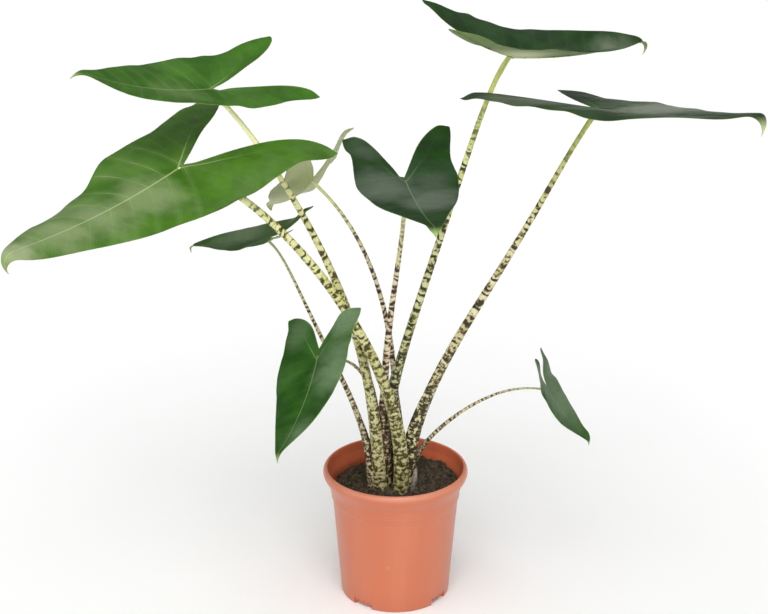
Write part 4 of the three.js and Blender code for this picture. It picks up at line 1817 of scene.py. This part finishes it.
@dataclass
class Studio:
    """The pale floor, the soft lights and the camera.

    A lamp is a sun, with the place it shines from, its spread in degrees and its power.
    """

    eye: tuple[float, float, float] = (-0.0134, -1.7, 0.986)
    down: float = 20.26
    lens: float = 75.0
    floor: float = 30.0
    wall_height: float = 14.0
    lamps: tuple[tuple[str, tuple[float, float, float], float, float], ...] = (
        ("key", (0.05, -1.0, 1.15), 40.0, 1.08),
        ("left", (-1.0, -0.5, 1.3), 60.0, 0.6),
        ("above", (0.15, -0.15, 1.0), 80.0, 0.45),
        ("front", (0.0, -1.0, 0.3), 60.0, 0.44),
    )

    def build_camera(self) -> None:
        """Places the camera where the photograph was taken from."""
        data = bpy.data.cameras.new("camera")
        data.lens = self.lens
        data.sensor_width = 36.0
        data.clip_end = 100.0
        camera = bpy.data.objects.new("camera", data)
        camera.location = self.eye
        camera.rotation_euler = (math.radians(90 - self.down), 0.0, 0.0)
        bpy.context.scene.collection.objects.link(camera)
        bpy.context.scene.camera = camera

    def build_floor(self) -> None:
        """Lays the floor, a wide flat grid, and stands a pale round wall about it."""
        s = np.linspace(-self.floor, self.floor, 5) / MM
        x, y = np.meshgrid(s, s)
        maker = MeshMaker()
        maker.add_sheet(maker.add_points(flat_points(x, y)))
        paint = Painter("pale_floor", Roughness=0.8, Specular_IOR_Level=0.0)
        tone = paint.noise(paint.place(), 3.0, 3.0)
        paint.colour(paint.blend(tone, (0.92, 0.92, 0.92, 1.0), (0.94, 0.94, 0.94, 1.0)))
        maker.build("floor", [paint.material])
        angle = np.linspace(0, TURN, 97)
        height = np.array([[-1.0], [self.wall_height]]) / MM
        maker = MeshMaker()
        maker.add_sheet(maker.add_points(turned(0.98 * self.floor / MM, angle[None], height)))
        white, black = (1.0, 1.0, 1.0, 1.0), (0.0, 0.0, 0.0, 1.0)
        paint = Painter("pale_wall", Emission_Strength=0.96, Emission_Color=white, Base_Color=black)
        backdrop = maker.build("backdrop", [paint.material])
        backdrop.visible_diffuse = False
        backdrop.visible_glossy = False
        backdrop.visible_shadow = False

    def build_lights(self) -> None:
        """Sets the broad lights, which reach the whole floor evenly, and the surroundings."""
        for name, place, spread, power in self.lamps:
            data = bpy.data.lights.new(name, "SUN")
            data.angle = math.radians(spread)
            data.energy = power
            lamp = bpy.data.objects.new(name, data)
            lamp.rotation_euler = self._aim(place)
            bpy.context.scene.collection.objects.link(lamp)
        self._build_surroundings()
        bpy.context.scene.view_settings.view_transform = "Standard"

    @staticmethod
    def _build_surroundings() -> None:
        """Makes the world's light, the sum of two parts.

        One grows from the horizon to the top, and one from the sides to the camera's side, so
        that the leaves mirror little at a low angle.
        """
        world = bpy.data.worlds.new("surroundings")
        world.use_nodes = True
        tree = world.node_tree
        background = tree.nodes["Background"]
        background.inputs[0].default_value = (1.0, 1.0, 1.0, 1.0)
        split = tree.nodes.new("ShaderNodeSeparateXYZ")
        tree.links.new(tree.nodes.new("ShaderNodeTexCoord").outputs["Generated"], split.inputs[0])
        both = tree.nodes.new("ShaderNodeMath")
        overhead = (2, {"To Min": 0.08, "To Max": 0.52})
        in_front = (1, {"From Max": -1.0, "To Max": 0.7})
        for number, (axis, limits) in enumerate((overhead, in_front)):
            ramp = tree.nodes.new("ShaderNodeMapRange")
            for socket, value in limits.items():
                ramp.inputs[socket].default_value = value
            tree.links.new(split.outputs[axis], ramp.inputs[0])
            tree.links.new(ramp.outputs[0], both.inputs[number])
        tree.links.new(both.outputs[0], background.inputs[1])
        bpy.context.scene.world = world

    @staticmethod
    def _aim(place: tuple[float, float, float]) -> tuple[float, float, float]:
        """The turn that points a lamp's beam, which leaves it along -Z, at the origin.

        Args:
            place: The place that it shines from.

        Returns:
            The turn as Euler angles.
        """
        x, y, z = place
        return (math.atan2(math.hypot(x, y), z), 0.0, math.atan2(-y, -x) - math.pi / 2)


# The bloom colour of each finish is also the colour of its painted sheen patches
BRIGHT = LeafFinish(
    green=0x477519, deep=0x356010, vein=0xB4C48C, under=0x9DAE6C, bloom_and_sheen=0x93A076, rib_share=0.55,
    vein_share=0.26,
)
DEEP = LeafFinish(
    green=0x1C4211, deep=0x102C08, vein=0x8CA070, under=0x809650, tip=0xB8C484, bloom_and_sheen=0x68725F,
    roughness=0.36, rib_share=0.35, vein_share=0.05,
)
MIDDLE = LeafFinish(
    green=0x2C5417, deep=0x1D420D, vein=0x8CA06A, under=0x9AAA7C, bloom_and_sheen=0x748A6A, roughness=0.36,
    rib_share=0.3, vein_share=0.06,
)
PALE = LeafFinish(
    # The pale colour near the stalk below is partly a painted glow
    green=0x7C905C, deep=0x667C48, vein=0xA9B58A, under=0xBEC499, paleness_and_painted_glow=0x9CA86C, vein_share=0.3,
    roughness=0.45,
)
YELLOW_BARK = StalkFinish(
    ground=0xD8D898, shade=0xB8B66A, olive=0x7E7838, band=0x3E3416, top=0xF2F4B4, low=0xC8C298,
    spacing=9.0, density=-0.1,
)
GREEN_BARK = StalkFinish(
    ground=0xDCDAA8, shade=0xB8BC78, olive=0x6A6C2E, band=0x2A2612, top=0xCCD478, spacing=9.0,
    density=0.35,
)
CREAM_BARK = StalkFinish(
    ground=0xD8D0A8, shade=0xB9AC78, olive=0x6A5C34, band=0x2C2416, spacing=10.0, density=0.2,
    plain_from=0.9, low_density=0.04,
)
PINK_BARK = StalkFinish(
    ground=0xE0D4B8, shade=0xC4AE8C, olive=0x7A6040, band=0x342013, top=0xD4D69A, low=0xB8B08C,
    spacing=7.5, density=0.25, low_density=0.15,
)
THIN_BARK = StalkFinish(
    ground=0xD0C69E, shade=0xA89C72, olive=0x6E6040, band=0x33200F, top=0xA4AE74, low=0xCCC2A0,
    spacing=5.5, density=0.1,
)

# The sheen patches of the blades are painted sheen, greyish highlights laid into their colour
LEAVES = [
    Leaf(
        name="left_wide", sits=(-232, -60, 537), heading=229, pitch=-17, roll=-7, length=253,
        half_width=86, lobe=150, spread=96, arch=17, hook=130, twist=3, rise=(-13, -8),
        fold=(-1, 2), turn=(6, 2), cup=(13, 13), wave=5, phase=(0.1, -0.23), foot=(3, -15),
        bends=((21, -19, 262), (-36, -31, 352), (-133, -46, 516)), thick=(8.8, 3.6),
        blade=replace(
            BRIGHT, vein_shift=0.3,
            sheen_patches=((10, 60, 48, 0.55), (6, 110, 50, 0.6), (0, 165, 44, 0.65), (2, 215, 30, 0.95),
                     (-40, 120, 50, 0.35)),
        ),
        bark=replace(YELLOW_BARK, low=0xB8B488, low_density=0.2), sinus=0.035, slant=(0.5, -0.15),
        ruffles=(
            Ruffle(0, 0.17, 0.09, -7), Ruffle(0, 0.4, 0.1, -2.4), Ruffle(0, 0.62, 0.09, 1.8),
            Ruffle(0, 0.86, 0.07, 1.8), Ruffle(0, 0.99, 0.05, -2.5),
            Ruffle(1, 0.34, 0.085, -6, -4.5), Ruffle(1, 0.44, 0.04, -4.5, -4),
            Ruffle(1, 0.51, 0.03, 4), Ruffle(1, 0.78, 0.07, 3.8), Ruffle(1, 0.92, 0.05, -5.5),
            Ruffle(0, 0.85, 0.12, 4.4, inner=True), Ruffle(0, 0.63, 0.08, -2, inner=True),
            Ruffle(1, 0.75, 0.08, 0, 4.5, True),
        ),
    ),
    Leaf(
        name="left_high", sits=(-203, 10, 607), heading=216, pitch=3, roll=-13, length=172,
        half_width=62, lobe=110, spread=53, arch=25, hook=59, twist=-3, rise=(-1, 18),
        fold=(12, 15), turn=(-3, 4), cup=(12, 13), wave=3.4, phase=(0.03, -0.3), foot=(-17, -8),
        bends=((-27, -6, 274), (-23, -2, 329), (-125, 5, 537)), thick=(8, 2.6),
        blade=replace(
            BRIGHT, green=0x3C6E14, deep=0x2B560A, vein_share=0.12, bloom_share=0.08, rib_share=0.3,
            vein_reach=0.5,
            sheen_patches=((12, 45, 36, 0.2),),
        ),
        bark=replace(YELLOW_BARK, plain_from=0.8, top=0xFFFFC4, low_density=-0.02), sinus=0.025,
        ruffles=(
            Ruffle(0, 0.25, 0.11, -4.2), Ruffle(1, 0.22, 0.1, -2.4), Ruffle(1, 0.62, 0.05, -2),
            Ruffle(0, 0.84, 0.14, 5.4, inner=True), Ruffle(0, 0.6, 0.04, -2.5, inner=True),
            Ruffle(1, 0.74, 0.08, 3, inner=True),
        ),
    ),
    Leaf(
        name="right_high", sits=(128, 25, 640), heading=23, pitch=-7, roll=2, length=178,
        half_width=74, lobe=110, spread=50, arch=19, hook=134, twist=-4, rise=(18, 14),
        fold=(25, 25), turn=(10, 3), cup=(16, 18), wave=3.6, phase=(-0.45, -0.26), foot=(-6, 14),
        bends=((-40, 15, 258), (52, 18, 355), (76, 22, 578)), thick=(7.6, 2.8),
        blade=replace(
            # The pale colour near the stalk below is partly a painted glow of light from below
            DEEP, under=0x7C9654, paleness_and_painted_glow=0xDCE2B4,
            sheen_patches=((-6, 118, 34, 0.85), (-30, 100, 28, 0.6), (-14, 60, 28, 0.4)),
        ),
        bark=GREEN_BARK, swell=3.0, seat=0.03, sinus=0.045,
        ruffles=(
            Ruffle(0, 0.2, 0.09, 4.5), Ruffle(1, 0.27, 0.13, -6.5), Ruffle(1, 0.57, 0.09, -1.6),
            Ruffle(1, 0.7, 0.05, 3.5, inner=True), Ruffle(0, 0.9, 0.05, 2, inner=True),
        ),
    ),
    Leaf(
        name="right_wide", sits=(211, -60, 602), heading=-51, pitch=4, roll=-7, length=228,
        half_width=88, lobe=131, spread=78, arch=10, hook=116, twist=4, rise=(1, -3), fold=(8, 7),
        turn=(3, 1), cup=(14, 14), wave=2, phase=(-0.24, -0.23), foot=(18, -6),
        bends=((-12, -11, 268), (142, -25, 406), (152, -44, 510)), thick=(8.8, 2.6),
        blade=replace(
            DEEP, bloom_and_sheen=0x848C7C, tip=0xD4DEA4, sheen_patches=((38, 54, 72, 0.9), (-48, -66, 56, 0.5)),
        ),
        bark=CREAM_BARK, sinus=0.045,
        ruffles=(
            Ruffle(0, 0.29, 0.12, -3.2), Ruffle(0, 0.83, 0.07, -1.6),
            Ruffle(0, 0.86, 0.1, 0, 3.5, True),
            Ruffle(1, 0.19, 0.07, -3.6), Ruffle(1, 0.42, 0.04, -2.6), Ruffle(1, 0.5, 0.03, 1.6),
            Ruffle(1, 0.78, 0.08, 1.4), Ruffle(1, 0.97, 0.06, -4),
            Ruffle(1, 0.86, 0.12, 3.2, inner=True),
        ),
    ),
    Leaf(
        name="front_middle", sits=(10, -45, 518), heading=-80, pitch=-10, roll=-7, length=155,
        half_width=55, lobe=92, spread=55, arch=16, hook=46, twist=2, rise=(21, 4), fold=(15, 5),
        turn=(4, 5), cup=(13, 18), wave=3, phase=(-0.32, 0.27), foot=(-13, 2),
        bends=((-12, -3, 223), (-23, -14, 322), (9, -31, 412)), thick=(6.4, 2.2),
        blade=replace(
            DEEP, bloom_and_sheen=0x5F6A5C, tip=0x9CBA6C,
            sheen_patches=((-24, 14, 46, 0.85), (16, 58, 44, 0.85), (26, 10, 30, 0.5), (-42, -60, 26, 0.4)),
        ),
        bark=PINK_BARK, swell=5.0, ends=((7, 1), (3, 4)),
        ruffles=(
            Ruffle(0, 0.12, 0.09, 0, 3.2), Ruffle(0, 0.62, 0.08, 0, 1.8),
            Ruffle(0, 0.86, 0.1, 0, -2.2),
            Ruffle(1, 0.07, 0.05, 0, 3), Ruffle(1, 0.38, 0.08, -2.8, 1.2),
            Ruffle(1, 0.8, 0.15, 1.6, -4.5),
            Ruffle(1, 0.9, 0.13, 6, -0.7, True), Ruffle(1, 0.61, 0.05, -2.8, 0, True),
            Ruffle(0, 0.84, 0.12, 1, -4, True), Ruffle(0, 0.95, 0.07, 4, 0, True),
        ),
    ),
    Leaf(
        name="back_left", sits=(-96, 50, 493), heading=122, pitch=-42, roll=-7, length=113,
        half_width=42, lobe=73, spread=36, arch=29, hook=72, twist=8, rise=(7, 3), fold=(16, 19),
        turn=(1, 6), cup=(10, 6), wave=2.3, phase=(0.08, -0.13), foot=(7, 19),
        bends=((-3, 22, 218), (9, 30, 307), (-18, 41, 426)), thick=(5.4, 1.8), blade=PALE,
        bark=PINK_BARK, swell=4.0, ends=((5, 0), (5, 0)),
        ruffles=(
            Ruffle(0, 0.1, 0.1, 0, 4.5), Ruffle(0, 0.37, 0.06, 0, 2), Ruffle(0, 0.6, 0.12, 0, -1.5),
            Ruffle(0, 1.0, 0.08, -2.7), Ruffle(1, 0.35, 0.05, -4, 3), Ruffle(1, 0.52, 0.06, 2, -2.5),
            Ruffle(1, 0.72, 0.12, 2.5, -4.5), Ruffle(1, 1.0, 0.08, -2.9),
            Ruffle(0, 0.8, 0.08, 0, 2.5, True), Ruffle(1, 0.89, 0.07, 2.5, -1.5, True),
        ),
    ),
    Leaf(
        name="left_small", sits=(-149, 20, 434), heading=155, pitch=-12, roll=-5, length=108,
        half_width=43, lobe=61, spread=32, arch=-2, hook=90, twist=1, rise=(16, 20), fold=(12, 13),
        turn=(5, 10), cup=(14, 14), wave=2.2, phase=(-0.34, -0.24), foot=(-29, -8),
        bends=((-20, -5, 262), (-97, 2, 281), (-110, 12, 419)), thick=(5.2, 1.3),
        blade=replace(MIDDLE, green=0x3C6A22, deep=0x2C5414, sheen_patches=((-14, 30, 44, 0.95),)),
        bark=THIN_BARK,
        ruffles=(
            Ruffle(0, 0.54, 0.06, -1.5), Ruffle(0, 0.82, 0.06, 2.5), Ruffle(1, 0.54, 0.1, -1.8),
            Ruffle(0, 0.74, 0.06, -2, inner=True), Ruffle(1, 0.88, 0.06, 2, inner=True),
        ),
    ),
    Leaf(
        name="front_low", sits=(-86, -98, 334), heading=-102, pitch=-38, roll=35, length=139,
        half_width=50, lobe=59, spread=43, arch=24, hook=37, twist=-7, rise=(-1, 13), fold=(7, 14),
        turn=(-10, 4), cup=(13, 10), wave=1.1, phase=(-0.21, -0.19), foot=(-25, 11),
        bends=((-3, 42, 220), (-36, 49, 263), (-47, -17, 310)), thick=(4.2, 1.15),
        blade=replace(
            MIDDLE, green=0x2A5812, deep=0x183F08, rib_share=0.45,
            sheen_patches=((34, 14, 38, 0.7), (34, -42, 30, 0.7), (-32, -36, 24, 0.35), (12, 100, 22, 0.5)),
        ),
        bark=THIN_BARK, sinus=0.1, ends=((5, 3), (4, 3)),
        ruffles=(
            Ruffle(0, 0.27, 0.1, -2), Ruffle(0, 0.78, 0.12, 0, -6), Ruffle(1, 0.36, 0.14, 0, -2),
            Ruffle(1, 0.9, 0.08, 0, -4.5),
            Ruffle(1, 0.8, 0.12, 4, -9, True), Ruffle(0, 0.86, 0.08, 4.5, 0, True),
        ),
    ),
    Leaf(
        name="right_small", sits=(178, 5, 254), heading=-16, pitch=-57, roll=0, length=82,
        half_width=34, lobe=47, spread=20, arch=15, hook=50, twist=4, rise=(16, 14), fold=(12, 9),
        turn=(4, 7), cup=(14, 15), wave=1.6, phase=(0.03, -0.24), foot=(25, 10),
        bends=((-5, 10, 181), (69, 8, 211), (104, 7, 270)), thick=(4.0, 1.1),
        blade=replace(MIDDLE, sheen_patches=((12, 16, 46, 0.65),)), bark=THIN_BARK,
        ruffles=(
            Ruffle(0, 0.45, 0.09, -2.8), Ruffle(0, 0.14, 0.06, 3), Ruffle(1, 0.33, 0.13, 0, 2.4),
            Ruffle(1, 0.76, 0.06, 2),
            Ruffle(0, 0.82, 0.08, 2.6, inner=True), Ruffle(1, 0.85, 0.09, 3, inner=True),
        ),
    ),
]


def main() -> None:
    """Builds the plant, its pot and the studio, and reports each piece."""
    logging.basicConfig(level=logging.INFO, format="%(message)s")
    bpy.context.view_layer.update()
    studio = Studio()
    studio.build_camera()
    studio.build_floor()
    studio.build_lights()
    soil = SoilBed()
    pieces = [NurseryPot().build(), soil.build(), soil.build_moss()]
    pieces += [Rootstock().build(), SpentSheath().build()]
    for leaf in LEAVES:
        pieces += [leaf.build_blade(), leaf.build_stalk()]
    total = 0
    for piece in pieces:
        faces = sum(len(p.vertices) - 2 for p in piece.data.polygons)
        total += faces
        LOG.info("%s: %d triangles", piece.name, faces)
    LOG.info("all pieces: %d triangles", total)


if __name__ == "__main__":
    main()
